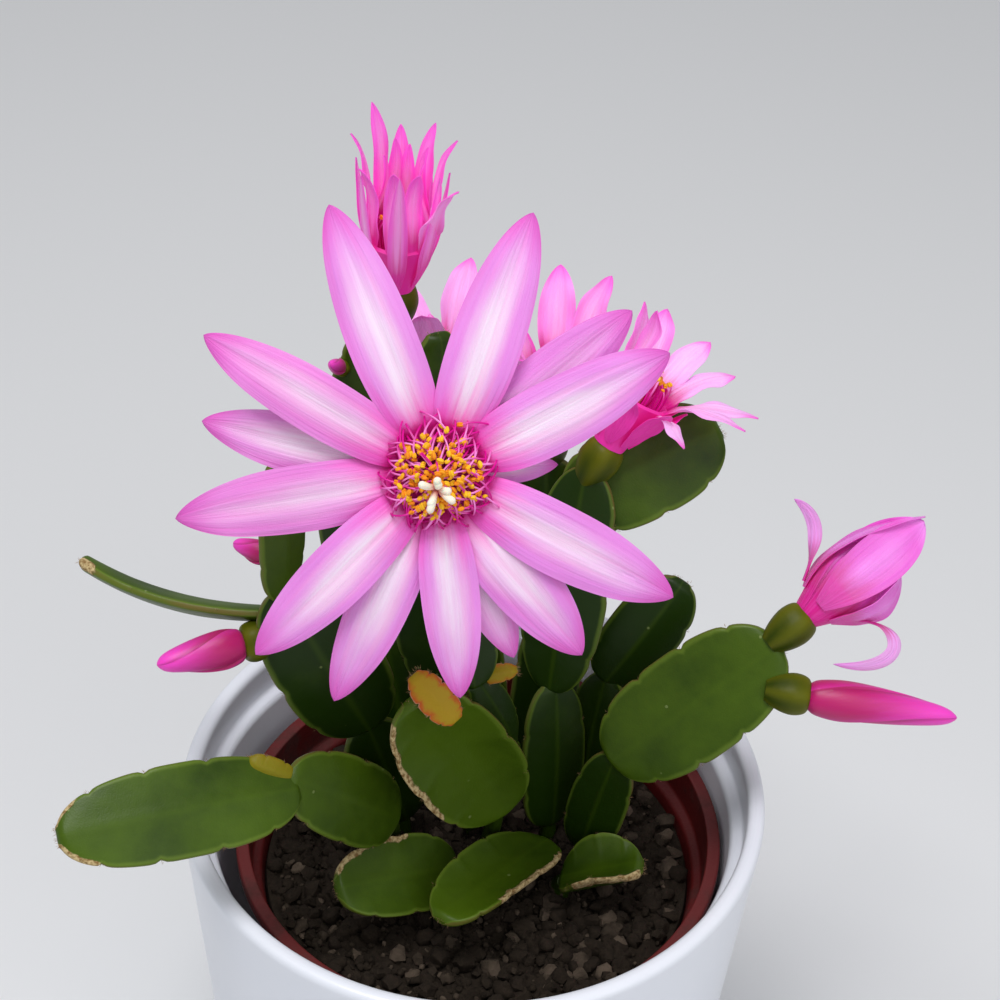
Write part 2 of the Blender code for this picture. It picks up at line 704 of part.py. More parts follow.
def tube(name, points, radius, where, finish, sides=0, end_radius=1.0):
    """A round rod through points in millimetres, with closed ends."""
    path = bpy.data.curves.new(name, "CURVE")
    path.dimensions = "3D"
    path.bevel_depth = radius * MM
    path.bevel_resolution = sides
    path.use_fill_caps = True
    line = path.splines.new("POLY")
    line.points.add(len(points) - 1)
    for index, (knot, at) in enumerate(zip(line.points, points)):
        knot.co = (*(at * MM), 1)
        knot.radius = 1 + (end_radius - 1) * index / (len(points) - 1)
    rod = bpy.data.objects.new(name, path)
    where.objects.link(rod)
    mesh = evaluated_mesh(rod)
    bpy.data.objects.remove(rod)
    welded = bmesh.new()
    welded.from_mesh(mesh)
    bmesh.ops.remove_doubles(welded, verts=welded.verts, dist=WELD)
    welded.to_mesh(mesh)
    welded.free()
    return place(name, mesh, where, finish)


def add_root(stem, where):
    """The round foot of a stem: straight down in its hole, then leaning into its first segment."""
    first = stem.pads[0]
    foot = Vector((*stem.root, SOIL_TOP - ROOT_DEPTH))
    along = (first.tip - first.base).normalized()
    bend = Vector((*stem.root, SOIL_TOP + ROOT_LEAN_HEIGHT))
    end = first.base + along * 2.5
    if (end - bend).length < 3.5:
        bend.z -= 2
    return tube("root", [foot, bend, end], ROOT_RADIUS, where, "stem", 1, 0.8)


def ovary(flower, where):
    """The green ovary under a flower or bud, sunk into the segment that carries it."""
    foot, seat, radius = seat_of(flower)
    length = (seat - foot).length - GAP
    profile = [
        (0, length),
        (radius * 0.85, length),
        (radius, length * 0.75),
        (OVARY_FOOT_RADIUS * radius / OVARY_TOP_RADIUS, 0),
        (OVARY_FOOT_RADIUS * 0.8 * radius / OVARY_TOP_RADIUS, -OVARY_SUNK),
        (0, -OVARY_SUNK),
    ]
    return turned_along("ovary", profile, OVARY_STEPS, foot, seat - foot, where, "stem")


def seat_of(flower):
    """(foot, seat, radius) of the ovary under a bloom or a bud; the seat is where petals start."""
    foot = Vector(flower.foot)
    if isinstance(flower, Bud):
        return foot, foot + (Vector(flower.tip) - foot).normalized() * flower.ovary, flower.radius
    return foot, foot + Vector(flower.axis).normalized() * OVARY_LENGTH, OVARY_TOP_RADIUS


def bloom_frame(bloom):
    """(mouth, axis) of a bloom: the middle of its tube's mouth, and the way it looks."""
    axis = Vector(bloom.axis).normalized()
    return seat_of(bloom)[1] + axis * TUBE_LENGTH, axis


def flower_on(name):
    if name in BUDS:
        return BUDS[name]
    return BLOOMS.get(name, HALF_OPEN)


def add_stems(where):
    for stem_name, stem in STEMS.items():
        pieces = [add_root(stem, where)]
        pieces += [add_pad("segment", shape, where, "stem") for shape in stem.pads]
        pieces += [ovary(flower_on(flower), where) for flower in stem.ovaries]
        joined = boolean(pieces[0], pieces[1:], "UNION")
        joined.name = stem_name
        smooth(joined)


def add_young_pads(where):
    """Young yellow segments, each trimmed to sit on the segments that it grows from."""
    for name, (parent, shape) in YOUNG_PADS.items():
        young = add_pad(name, shape, where, "young")
        seats = [add_pad("seat", host, where, "young", GAP) for host in STEMS[parent].pads]
        boolean(young, seats, "DIFFERENCE")
        smooth(young)


# Flowers


def tube_radius(height):
    """Outer radius of a flower's tube at a height below its mouth."""
    return TUBE_FOOT_RADIUS + TUBE_FLARE * ((height + TUBE_LENGTH) / TUBE_LENGTH) ** 1.2


def tube_cup(name, mouth, axis, where, finish):
    """The flower's tube: a thin cup that flares from the ovary to the mouth."""
    inner = [(tube_radius(height) - TUBE_WALL, height) for height in (TUBE_FLOOR, TUBE_WAIST, 0.0)]
    outer = [(tube_radius(height), height) for height in (0.0, TUBE_WAIST, -TUBE_LENGTH)]
    profile = [(0, TUBE_FLOOR)] + inner + outer + [(0, -TUBE_LENGTH)]
    return turned_along(name, profile, TUBE_STEPS, mouth, axis, where, finish)


def flower_frame(axis):
    """The two directions across a flower's axis from which its petals' turns are counted."""
    first = Vector((1, 0, 0)) - axis * axis.x
    first.normalize()
    return first, axis.cross(first)


def petal_share(u):
    """Half width of a petal at u as a share of its widest."""
    if u < PETAL_WIDEST_AT:
        rise = math.sin(math.pi / 2 * u / PETAL_WIDEST_AT) ** 0.95
        return PETAL_ROOT_SHARE + (1 - PETAL_ROOT_SHARE) * rise
    fall = (u - PETAL_WIDEST_AT) / (1 - PETAL_WIDEST_AT)
    return max(PETAL_TIP_SHARE, (1 - fall**2.3) ** 0.7)


def petal_point(petal, mouth, axis, u, s):
    """A point on a petal's middle surface: an arc out of the mouth, with its margins bent back."""
    right, up = flower_frame(axis)
    turn = math.radians(petal.turn)
    out = right * math.cos(turn) + up * math.sin(turn)
    side = axis.cross(out)
    a, b, c, d = [Vector(knot) for knot in petal.knots]
    v = 1 - u
    arc = a * v**3 + b * 3 * v * v * u + c * 3 * v * u * u + d * u**3
    slope = ((b - a) * v * v + (c - b) * 2 * v * u + (d - c) * u * u).normalized()
    normal = axis * slope.x - out * slope.y
    half = petal.width / 2 * petal_share(u)
    bent_back = PETAL_BACK * half * s * s
    return mouth + out * arc.x + axis * arc.y + side * (s * half) - normal * bent_back


def add_petal(petal, mouth, axis, rows, where, finish):
    return blade(
        "petal",
        rows,
        2,
        lambda u, s: petal_point(petal, mouth, axis, u, s),
        PETAL_THICKNESS,
        PETAL_MARGIN_SHARE,
        where,
        finish,
    )


def add_petals(name, bloom, rows, where, finish):
    """One solid of a flower's tube and all its petals."""
    mouth, axis = bloom_frame(bloom)
    pieces = [tube_cup(name, mouth, axis, where, finish)]
    for petal in bloom.petals:
        count = rows if petal.width > NARROW_PETAL else FEWEST_ROWS
        pieces.append(add_petal(petal, mouth, axis, count, where, finish))
    smooth(boolean(pieces[0], pieces[1:], "UNION"))


def add_half_open(where):
    """The half-open flower: a furled core with petals lying on it, and two petals curled back."""
    mouth, axis = bloom_frame(HALF_OPEN)
    name, finish = "bloom_half_open", "deep_petal"
    pieces = [turned_along(name, HALF_OPEN_CORE, HALF_OPEN_STEPS, mouth, axis, where, finish)]
    for petal in HALF_OPEN.petals:
        pieces.append(add_petal(petal, mouth, axis, HALF_OPEN_ROWS, where, finish))
    smooth(boolean(pieces[0], pieces[1:], "UNION"))


def anther(at, direction, where):
    """A small pollen sac at the end of a filament."""
    mesh = bpy.data.meshes.new("anther")
    sac = bmesh.new()
    stretch = Matrix.Diagonal((ANTHER_RADIUS * MM, ANTHER_RADIUS * MM, ANTHER_LENGTH / 2 * MM, 1))
    bmesh.ops.create_icosphere(sac, subdivisions=1, radius=1, matrix=aligned(at, direction) @ stretch)
    sac.to_mesh(mesh)
    sac.free()
    return place("anther", mesh, where, "stamen")


def add_stamens(name, bloom, reach, where):
    """Filaments with an anther each, standing on the plug of fused bases that fills the throat."""
    mouth, axis = bloom_frame(bloom)
    dice = random.Random(SEED + bloom.stamens)
    right, up = flower_frame(axis)
    low = TUBE_FLOOR + GAP
    heights = (PLUG_TOP, TUBE_WAIST, low)
    side = [(tube_radius(height) - TUBE_WALL - PLUG_CLEARANCE, height) for height in heights]
    top = side[0][0]
    profile = [(0, PLUG_TOP)] + side + [(0, low)]
    pieces = [turned_along(name, profile, PLUG_STEPS, mouth, axis, where, "stamen")]
    for index in range(bloom.stamens):
        share = (index + 0.5) / bloom.stamens
        turn = index * math.radians(GOLDEN_ANGLE)
        out = right * math.cos(turn) + up * math.sin(turn)
        root = 1.2 + (top - 1.8) * math.sqrt(share)
        spread = 1.8 + (reach - 1.8) * math.sqrt(share) + dice.uniform(-0.3, 0.3)
        height = 4.6 - 1.2 * share + dice.uniform(-0.7, 0.7)
        knots = [
            mouth + out * root + axis * (PLUG_TOP - 0.8),
            mouth + out * min(root + 0.7, 3.4) + axis * 0.6,
            mouth + out * spread + axis * height,
        ]
        pieces.append(tube("filament", knots, FILAMENT_RADIUS, where, "stamen"))
        lean = axis - out * dice.uniform(0.2, 0.9) + up * dice.uniform(-0.5, 0.5)
        pieces.append(anther(knots[2] + axis * 0.3, lean, where))
    smooth(boolean(pieces[0], pieces[1:], "UNION"))


def add_stigma(name, bloom, lobes, where):
    """The style with its spreading pale lobes."""
    mouth, axis = bloom_frame(bloom)
    right, up = flower_frame(axis)
    top = mouth + axis * STYLE_TOP
    style = [mouth + axis * (PLUG_TOP + GAP), top + axis * 0.4]
    pieces = [tube(name, style, STYLE_RADIUS, where, "stigma")]
    for index in range(lobes):
        turn = math.radians(20 + 360 * index / lobes)
        out = right * math.cos(turn) + up * math.sin(turn)
        knots = [top - axis * 0.6, top + out * 1.9 + axis * 2.4]
        pieces.append(tube("lobe", knots, LOBE_RADIUS, where, "stigma", 0, 1.3))
    joined = boolean(pieces[0], pieces[1:], "UNION")
    joined.name = name
    smooth(joined)


def add_blooms(where):
    for name, bloom in BLOOMS.items():
        if name == "bloom_front":
            rows, finish, reach, lobes = MAIN_ROWS, "petal", MAIN_STAMEN_REACH, MAIN_LOBES
        else:
            rows, finish, reach, lobes = FEWEST_ROWS, "deep_petal", STAMEN_REACH, LOBES
        add_petals(name + "_petals", bloom, rows, where, finish)
        add_stamens(name + "_stamens", bloom, reach, where)
        add_stigma(name + "_stigma", bloom, lobes, where)
    add_half_open(where)


def add_buds(where):
    """Closed buds: furled petals in one drop with a blunt tip."""
    for name, bud in BUDS.items():
        seat, tip = seat_of(bud)[1], Vector(bud.tip)
        length = (tip - seat).length
        side = [(bud.radius * radius, length * height) for radius, height in BUD_OUTLINE]
        profile = [(0, length)] + side + [(0, 0)]
        steps = BUD_STEPS if bud.radius > SMALL_BUD_RADIUS else SMALL_BUD_STEPS
        smooth(turned_along(name, profile, steps, seat, tip - seat, where, "bud"))


def main():
    clear_scene()
    plant = collection("potted_easter_cactus")
    add_cachepot(plant)
    add_nursery_pot(plant)
    add_soil(plant)
    add_stems(plant)
    add_young_pads(plant)
    add_blooms(plant)
    add_buds(plant)


main()
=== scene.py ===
"""Looks of a potted Easter cactus: waxy scalloped segments with corky margins, silky pink blooms
with their stamens, furled buds, crumbly soil, a plastic nursery pot and a glazed cachepot.

The file is laid out as an add-on with one operator for each piece or group of like pieces, and is
run as a script. The front of the plant looks along -Y. Lengths in the tables are millimetres,
which MM turns into metres.
"""

import json
import math
import random
from collections import namedtuple

import bpy
import numpy as np
from bpy.props import FloatProperty, FloatVectorProperty, IntProperty, PointerProperty
from mathutils import Matrix, Vector, noise

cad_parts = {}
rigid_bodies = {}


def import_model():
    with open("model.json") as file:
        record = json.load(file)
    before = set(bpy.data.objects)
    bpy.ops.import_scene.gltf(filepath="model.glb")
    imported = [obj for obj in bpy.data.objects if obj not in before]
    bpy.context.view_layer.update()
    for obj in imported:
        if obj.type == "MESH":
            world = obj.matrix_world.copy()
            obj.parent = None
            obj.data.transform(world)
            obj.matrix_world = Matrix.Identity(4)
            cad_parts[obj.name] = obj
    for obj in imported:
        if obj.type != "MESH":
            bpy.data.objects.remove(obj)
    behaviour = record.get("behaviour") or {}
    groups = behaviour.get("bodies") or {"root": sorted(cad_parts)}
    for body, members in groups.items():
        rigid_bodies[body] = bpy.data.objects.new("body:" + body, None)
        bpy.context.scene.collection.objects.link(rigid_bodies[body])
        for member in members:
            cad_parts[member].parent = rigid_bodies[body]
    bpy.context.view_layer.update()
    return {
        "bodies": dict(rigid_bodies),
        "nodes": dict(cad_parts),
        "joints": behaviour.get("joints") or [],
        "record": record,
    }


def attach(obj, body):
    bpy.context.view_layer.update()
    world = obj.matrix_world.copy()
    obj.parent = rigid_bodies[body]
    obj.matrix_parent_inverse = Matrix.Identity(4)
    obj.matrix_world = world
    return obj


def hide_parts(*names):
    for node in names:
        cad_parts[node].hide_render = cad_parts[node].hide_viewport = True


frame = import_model()

bl_info = {
    "name": "Potted Easter Cactus",
    "version": (1, 0, 0),
    "blender": (4, 5, 0),
    "location": "View3D > Sidebar > Easter Cactus",
    "description": "Dresses the solids of a potted Easter cactus in bloom",
    "category": "Add Mesh",
}

MM = 0.001
SMOOTH_ANGLE = math.radians(50)
GOLDEN_ANGLE = math.radians(137.508)
# Radius of a turned shape's first and last ring, which a form then closes
POLE = 0.02

# The two pots and the soil
POT_HEIGHT = 86.0
POT_RIM_RADIUS = 48.0
POT_FOOT_RADIUS = 42.0
POT_WALL = 4.7
POT_FLOOR = 5.5
POT_LIP_WALL = 3.0
POT_LEDGE_DEPTH = 7.0
POT_LEDGE_RADIUS = 42.8
NURSERY_CENTRE = (1.1, 0.4)
NURSERY_RIM_RADIUS = 40.6
NURSERY_TOP = 74.5
NURSERY_BAND = 8.0
NURSERY_FOOT_RADIUS = 29.0
NURSERY_FOOT = 5.8
NURSERY_WALL = 1.1
NURSERY_FLOOR = 1.4
NURSERY_SHOULDER_RADIUS = 38.6
SOIL_TOP = 65.0
SOIL_FLOOR = 7.5
SOIL_RADIUS = 36.0
SOIL_FOOT_RADIUS = 27.0
SOIL_MOUND = 2.0
SOIL_RELIEF = 1.5
SOIL_RINGS = 90
SOIL_STEPS = 180
GROUND_RINGS = 24
GROUND_STEPS = 64
ROOT_RADIUS = 2.1
ROOT_DEPTH = 4.0
ROOT_ROWS = 14
ROOT_SIDES = 16

# Crumbs and grains: the smallest and the largest, their height over the ground, and their seed
CRUMB_LAY = (0.5, 1.5, 0.1, 3)
GRAIN_LAY = (1.6, 3.8, 0.2, 8)

# Stem segments; the young ones are those under YOUNG_WIDTH
PAD_THICKNESS = 2.5
PAD_MARGIN_SHARE = 0.36
PAD_NECK_WIDTH = 4.2
PAD_NECK_SHARE = 0.55
PAD_SUNK = 1.6
PAD_NOTCH = 0.075
PAD_ROWS = 56
PAD_SIDES = 40
PAD_EDGE_ROUND = 0.3
PAD_END_ROUND = 0.9
PAD_RIB = 0.2
PAD_RIB_WIDTH = 0.7
CORK_RELIEF = 0.12
YOUNG_THICKNESS = 1.6
YOUNG_NOTCH = 0.16
YOUNG_WIDTH = 6.0
YOUNG_TONES = {"young_pad_left": 0.95, "young_pad_centre": 0.05, "young_pad_back": 0.5}
YOUNG_SEED = 200
STEM_SEED = 5
TONE_SPREAD = 0.6

# Areoles: the places across a segment's tip that have one, their sizes, and their bristles
TIP_AREOLES = (-0.6, -0.2, 0.25, 0.65)
AREOLE_SIZE = 0.8
YOUNG_AREOLE_SIZE = 0.9
BRISTLES = 8
BRISTLE_SEED = 4
BRISTLE_SPREAD = 0.75
BRISTLE_SHIFT = 0.45

# Segments in the middle of the plant get painted shade, a darker skin: how far they reach to the
# sides, where they begin from the front, how high they go, and how much painted shade they get.
INNER_REACH = 30.0
INNER_FRONT = -7.0
INNER_TOP = 126.0
INNER_PAINTED_SHADE = 1.3

# Flowers; a grid is the rows along a petal and the columns across it, and the petals of the
# half-open flower that are under CURLED_WIDTH have curled back
PETAL_PARTS = ("edge", "middle", "throat", "tip", "paler")
MAIN_PETAL_GRID = (40, 17)
BACK_PETAL_GRID = (24, 11)
HALF_OPEN_GRID = (34, 15)
BLOOM_SEED = 20
BACK_WAVES = 2.2
LILAC_STRIPE = 0.86
PINK_STRIPE = 0.7
HALF_OPEN_SEED = 41
# How far the half-open petals' middles take the paler colour, partly a painted sheen
HALF_OPEN_STRIPE = 0.5
HALF_OPEN_PAINTED_GLOW = 0.3
HALF_OPEN_WAVES = 0.4
CURLED_WIDTH = 4.0
CURLED_SLIMNESS = 0.8
CURLED_TINT = 0.85
CURLED_TWIST = 62.0
PETAL_ROOT_SHARE = 0.25
PETAL_WIDEST_AT = 0.56
PETAL_BACK = 0.08
TUBE_LENGTH = 9.0
TUBE_FLOOR = -7.4
TUBE_FOOT_RADIUS = 2.6
TUBE_FLARE = 2.5
TUBE_WALL = 0.9
TUBE_SIDES = 40
ROOT_RING_RADIUS = 4.3
STYLE_TOP = 4.6
STYLE_RADIUS = 0.62
STYLE_ROWS = 12
LOBE_ROWS = 16
LOBE_SIDES = 14
STRAY_SHARE = 0.07
OVARY_LENGTH = 5.5
OVARY_TOP_RADIUS = 3.2
OVARY_ROWS = 18
OVARY_SIDES = 30
OVARY_RIBS = 5
OVARY_OUTLINE = [
    (0.5, -0.36), (0.76, -0.1), (0.95, 0.22), (1.03, 0.52), (0.98, 0.78), (0.86, 0.95), (0.7, 1.03),
]

# Furled petals: their layers, and the sides, the twist and the depth of their folds
FURLED_LAYERS = 3
FURLED_ROWS = 60
BUD_FURL = (72, 0.8, 0.14)
HALF_OPEN_FURL = (84, 0.5, 0.1)

FRONT_UP = (0.0, -0.79, 0.62)

# The floor, and each lamp: the setting with its power, its size and its place, in metres
FLOOR_REACH = 4.0
FLOOR_LEVEL = -0.0002
UNIT_CORNERS = ((-1, -1), (1, -1), (1, 1), (-1, 1))
LAMPS = {
    "key_light": ("key", 0.3, (-0.1, -0.12, 0.8)),
    "fill_light": ("fill", 0.7, (0.3, -0.55, 0.55)),
}
LAMP_AIM = (0.0, 0.0, 0.12)

# The camera, at the height and angle of the photograph
CAMERA_LENS = 75.0
CAMERA_SENSOR = 36.0
CAMERA_NEAR = 0.01
CAMERA_PLACE = (0.0020, -0.24087, 0.33408)
CAMERA_PITCH = math.radians(38.2)
CAMERA_ROLL = math.radians(-2.8)


def srgb(red, green, blue):
    """A colour given in display values from 0 to 255, as the linear values that materials take."""
    shares = [value / 255 for value in (red, green, blue)]
    return tuple(s / 12.92 if s <= 0.04045 else ((s + 0.055) / 1.055) ** 2.4 for s in shares)


# One flat segment: where it starts and ends, its width, the way its face looks, how far its middle
# bulges that way, how far its margins curl up, its lobes, and its corky margins as
# (side, start, end, width).
Pad = namedtuple("Pad", "base tip width facing arch cup lobes cork")


def pad(base, tip, width, facing=FRONT_UP, arch=1.0, cup=0.0, lobes=4, cork=()):
    return Pad(np.array(base, float), np.array(tip, float), width, facing, arch, cup, lobes, cork)


# Each stem: where it leaves the soil, its segments from the lowest up, and the ovaries on them.
Stem = namedtuple("Stem", "root pads ovaries", defaults=[()])

STEMS = {
    "stem_left_arm": Stem((-13.0, -1.0), [
        pad((-13.2, -8.8, 85.5), (-28.0, -20.5, 105.5), 13.5, (0.25, -0.65, 0.7), 1.2, 0.8),
        pad((-27.6, -21.5, 103.5), (-59.8, -35.7, 106.5), 14.2, (0, -0.62, 0.78), 1.6, 0.8, 5,
            [(-1, 0.86, 1.0, 1.2), (1, 0.9, 1.0, 0.9)]),
    ]),
    "stem_front_left": Stem((-2.0, -4.0), [
        pad((-3.2, -7.6, 72.6), (-21.0, -20.2, 80.4), 13, (0.05, -0.58, 0.81), 0.0, 2.5, 4,
            [(1, 0.42, 0.97, 1.3)]),
    ]),
    "stem_front": Stem((11.5, -1.0), [
        pad((12.2, -2.8, 73.5), (-4.3, -24.3, 79), 12.6, (-0.35, -0.38, 0.86), 0.0, 3.2, 5,
            [(-1, 0.08, 0.72, 1.5)]),
    ]),
    "stem_front_right": Stem((15.2, -6.2), [
        pad((16.4, -8.2, 71.5), (28.4, -9.2, 77.0), 11, (-0.25, 0.1, 0.96), 0.0, 4.0, 4,
            [(1, 0.26, 0.98, 1.4)]),
    ]),
    "stem_centre": Stem((3.0, 3.0), [
        pad((4.6, -6.1, 86), (-10.0, -13.2, 115.5), 17.4, (0.15, -0.85, 0.5), -2.2, 4.2, 4,
            [(-1, 0.28, 0.95, 1.4)]),
    ]),
    "stem_bloom_front": Stem((0.0, 6.0), [
        pad((0.0, 6.0, 70), (5.2, 2.5, 92), 10, (0.7, -0.6, 0.2), 0.5, 0, 3),
        pad((5.2, 2.5, 92), (-1.0, -6.0, 114), 8, (0.75, -0.6, 0.3), 0.8, 0, 3),
        pad((-1.0, -6.0, 114), (-4.5, -3.5, 135), 10, (0.3, -0.9, 0.1), 0.8, 0, 3),
        pad((-4.5, -3.5, 135), (-7.2, -4.2, 155), 11, (0.2, -0.9, -0.1), 0.8, 0, 3),
    ], ["bloom_front"]),
    "stem_right_back": Stem((13.0, 6.5), [
        pad((13.0, 6.5, 71), (12.0, 9.0, 100), 12, (0.5, -0.85, 0.1), 1.0, 0, 3),
        pad((12.0, 9.0, 100), (15.5, 17.5, 138), 14, (-0.3, -0.85, 0.35)),
        pad((14.0, 17.5, 131), (36.0, 24.9, 141.5), 16.4, (0.0, -0.79, 0.62), 1.0, 0.5),
    ], ["bloom_right"]),
    "stem_right": Stem((19.0, 1.0), [
        pad((19.0, 1.0, 71), (23.0, -0.8, 94), 10, (-0.3, -0.85, 0.3), 0.8, 0, 3),
        pad((23.0, -1.2, 94), (46.6, 2.4, 117), 18.0, (-0.1, -0.79, 0.6), 1.2, 0.6, 5),
    ], ["bloom_half_open", "bud_right"]),
    "stem_right_inner": Stem((19.3, 11.8), [
        pad((19.3, 11.8, 71), (21.5, 12.8, 99), 11, (-0.5, -0.8, 0.3), 1.0, 0, 3),
        pad((21.5, 12.8, 99), (32.0, 15.1, 118), 12, (0.1, -0.79, 0.6), 1.0, 0, 3),
    ]),
    "stem_left_high": Stem((-12.0, 6.0), [
        pad((-12.0, 6.0, 71), (-17.9, -0.3, 98), 13, (0.3, -0.85, 0.4), 1.0, 0, 3),
        pad((-17.9, -0.3, 98), (-30.7, -1.9, 127), 17, (0.05, -0.79, 0.6), 1.5, 0.5),
        pad((-30.7, -1.9, 127), (-31.0, 2.0, 148), 9, (0.75, -0.6, 0.2), 0.8, 0, 3),
        pad((-31.5, -0.8, 121.5), (-62.6, 6.3, 123.5), 7.5, (0.05, 0.62, 0.78), -2.5, 0, 3,
            [(-1, 0.9, 1.0, 1.0), (1, 0.9, 1.0, 1.0)]),
    ], ["bud_left", "bud_left_small"]),
    "stem_back_tip": Stem((-3.0, 12.0), [
        pad((-3.0, 12.0, 71), (-5.5, 14.0, 93), 15, (0.2, -0.95, 0.1), 1.0, 0, 3),
        pad((-5.5, 14.0, 93), (-7.0, 18.0, 127), 17, (-0.2, -0.95, 0.1)),
        pad((-7.0, 18.0, 127), (-8.6, 21.7, 159), 11, (0.4, -0.85, 0.2), 1.0, 0, 3),
    ]),
    "stem_bloom_top": Stem((-11.0, 15.0), [
        pad((-11.0, 15.0, 71), (-17.0, 22.0, 101), 16, (0.1, -0.95, 0.2), 1.0, 0, 3),
        pad((-17.0, 22.0, 101), (-22.5, 26.5, 130), 15, (-0.2, -0.9, 0.3), 1.0, 0, 3),
        pad((-22.5, 26.5, 130), (-16.0, 27.5, 158), 13, (0.1, -0.9, 0.3), 1.0, 0, 3),
    ], ["bloom_top", "bud_top"]),
    "stem_bloom_back": Stem((0.0, 20.0), [
        pad((0.0, 20.0, 71), (-4.0, 31.0, 100), 13, (0.1, -0.95, 0.2), 1.0, 0, 3),
        pad((-4.0, 31.0, 100), (-7.5, 38.0, 127.5), 15, (0.2, -0.9, 0.3), 1.0, 0, 3),
    ], ["bloom_back"]),
    "stem_bloom_middle": Stem((10.0, 16.0), [
        pad((10.0, 16.0, 71), (12.0, 25.0, 102), 12, (0.2, -0.95, 0.2), 1.0, 0, 3),
        pad((12.0, 25.0, 102), (9.5, 29.0, 131.5), 14, (-0.3, -0.9, 0.3), 1.0, 0, 3),
    ], ["bloom_middle"]),
}

# Young yellow segments
YOUNG_PADS = {
    "young_pad_left": pad((-28.5, -20.0, 105.5), (-34.0, -20.4, 108.5), 4.0, FRONT_UP, 0.4, 0, 3),
    "young_pad_centre": pad((-4.0, -13.4, 113.5), (-9.8, -11.0, 119), 5.6, (0, -0.75, 0.65), 0.6, 0.4, 5),
    "young_pad_back": pad((0.8, -3.6, 112.5), (6.0, -2.8, 113.5), 3.0, FRONT_UP, 0.3, 0, 3),
}

# Each petal: its turn about the flower's axis, its width, and the four points of the curve that its
# middle line follows, as (distance from the axis, height above the mouth).
Petal = namedtuple("Petal", "turn width knots")


def open_petal(turn, length, opening, width, lift, curl=14.0):
    """A petal that leaves the mouth and opens to an angle from the axis, with its tip bent back."""
    end_turn = math.radians(opening)
    end_bend = math.radians(opening + curl)
    root = (ROOT_RING_RADIUS - 0.3 * lift, -1.5)
    leave = (root[0] + 1.2, 2.4 + lift)
    end = (length * math.sin(end_turn), length * math.cos(end_turn) + lift)
    near = (end[0] - 0.38 * length * math.sin(end_bend), end[1] - 0.38 * length * math.cos(end_bend))
    return Petal(turn, width, (root, leave, near, end))


def outer_petal(turn, reach, height, dice):
    """A short petal that starts low on the tube and follows it out to its own tip."""
    high = height * dice.uniform(0.8, 1.15)
    knots = ((2.9, -7.8), (4.6, -4.4), (6.0, -0.4 + 0.2 * high), (reach * dice.uniform(0.92, 1.08), high))
    return Petal(turn + dice.uniform(-6, 6), SEPAL_WIDTH * dice.uniform(0.9, 1.1), knots)


def whorls(count, length, opening, width, first_turn=0.0, spread=14.0):
    """Petals in two whorls: every other one is shorter, wider open and behind."""
    dice = random.Random(count * 100 + round(length))
    petals = []
    for index in range(count):
        outer = index % 2
        petals.append(
            open_petal(
                first_turn + 360 * index / count + dice.uniform(-4, 4),
                length * (0.94 if outer else 1.0) * dice.uniform(0.95, 1.03),
                opening + (spread if outer else 0) + dice.uniform(-4, 4),
                width * dice.uniform(0.92, 1.05),
                -0.6 if outer else 0.5,
            )
        )
    return petals


def open_petals(*rows):
    return [open_petal(*numbers) for numbers in rows]


# Each petal's turn, length, opening, width and lift
FRONT_PETALS = open_petals(
    (114.5, 38.5, 92, 9.3, 0.8), (72.5, 37.0, 92, 9.6, 0.8), (42.0, 34.0, 94, 9.0, -0.3),
    (30.0, 35.0, 91, 9.8, 0.8), (-26.0, 36.5, 92, 9.8, 0.8), (-50.0, 32.5, 93, 9.6, -0.1),
    (-66.0, 28.8, 96, 7.0, -1.1), (-82.0, 31.5, 92, 8.0, 0.8), (-111.5, 35.5, 94, 8.4, -0.3),
    (-132.5, 35.2, 91, 8.8, 0.8), (-167.0, 36.2, 93, 9.3, -0.2), (171.0, 32.8, 96, 8.4, -1.2),
    (151.5, 36.2, 92, 8.4, 0.8), (-148.0, 16.5, 104, 4.0, -1.9), (3.0, 17.0, 104, 4.0, -1.9),
)
TOP_PETALS = open_petals(
    (135, 20.6, 20, 4.2, 0.4), (180, 19.4, 23, 4.0, -0.5), (98, 17.6, 17, 4.2, -0.5),
    (53, 18.5, 23, 4.2, -0.5), (10, 18.0, 26, 4.2, 0.4), (-36, 17.0, 38, 7.4, -0.5),
    (-62, 15.0, 22, 4.2, 0.4), (-100, 16.0, 20, 4.4, -0.5), (-142, 16.0, 28, 4.2, 0.4),
)
RIGHT_PETALS = open_petals(
    (24, 16.0, 58, 4.6, 0.4), (-4, 18.8, 68, 4.8, -0.5), (-24, 17.4, 74, 4.2, 0.4),
    (-46, 12.0, 92, 3.6, -0.9), (56, 17.0, 50, 5.0, -0.5), (96, 16.0, 46, 5.0, 0.4),
    (150, 15.0, 30, 5.0, -0.5), (205, 14.5, 24, 4.8, 0.4),
)

# Each bloom: the foot of its ovary, which way its axis looks, and its petals.
Bloom = namedtuple("Bloom", "foot axis petals")

BLOOMS = {
    "bloom_front": Bloom((-7.1, -5.8, 156.4), (0.04, -0.88, 0.47), FRONT_PETALS),
    "bloom_top": Bloom((-15.3, 27.9, 158.0), (0.03, -0.08, 1.0), TOP_PETALS),
    "bloom_right": Bloom((15.9, 17.6, 137.0), (0.46, 0.25, 0.85), RIGHT_PETALS),
    "bloom_back": Bloom((-7.5, 38.0, 127.0), (-0.12, 0.16, 0.98), whorls(7, 18, 44, 6.6, 64, 10)),
    "bloom_middle": Bloom((9.4, 29.2, 131.0), (0.0, 0.06, 1.0), whorls(7, 18, 34, 6.2, 90, 12)),
}

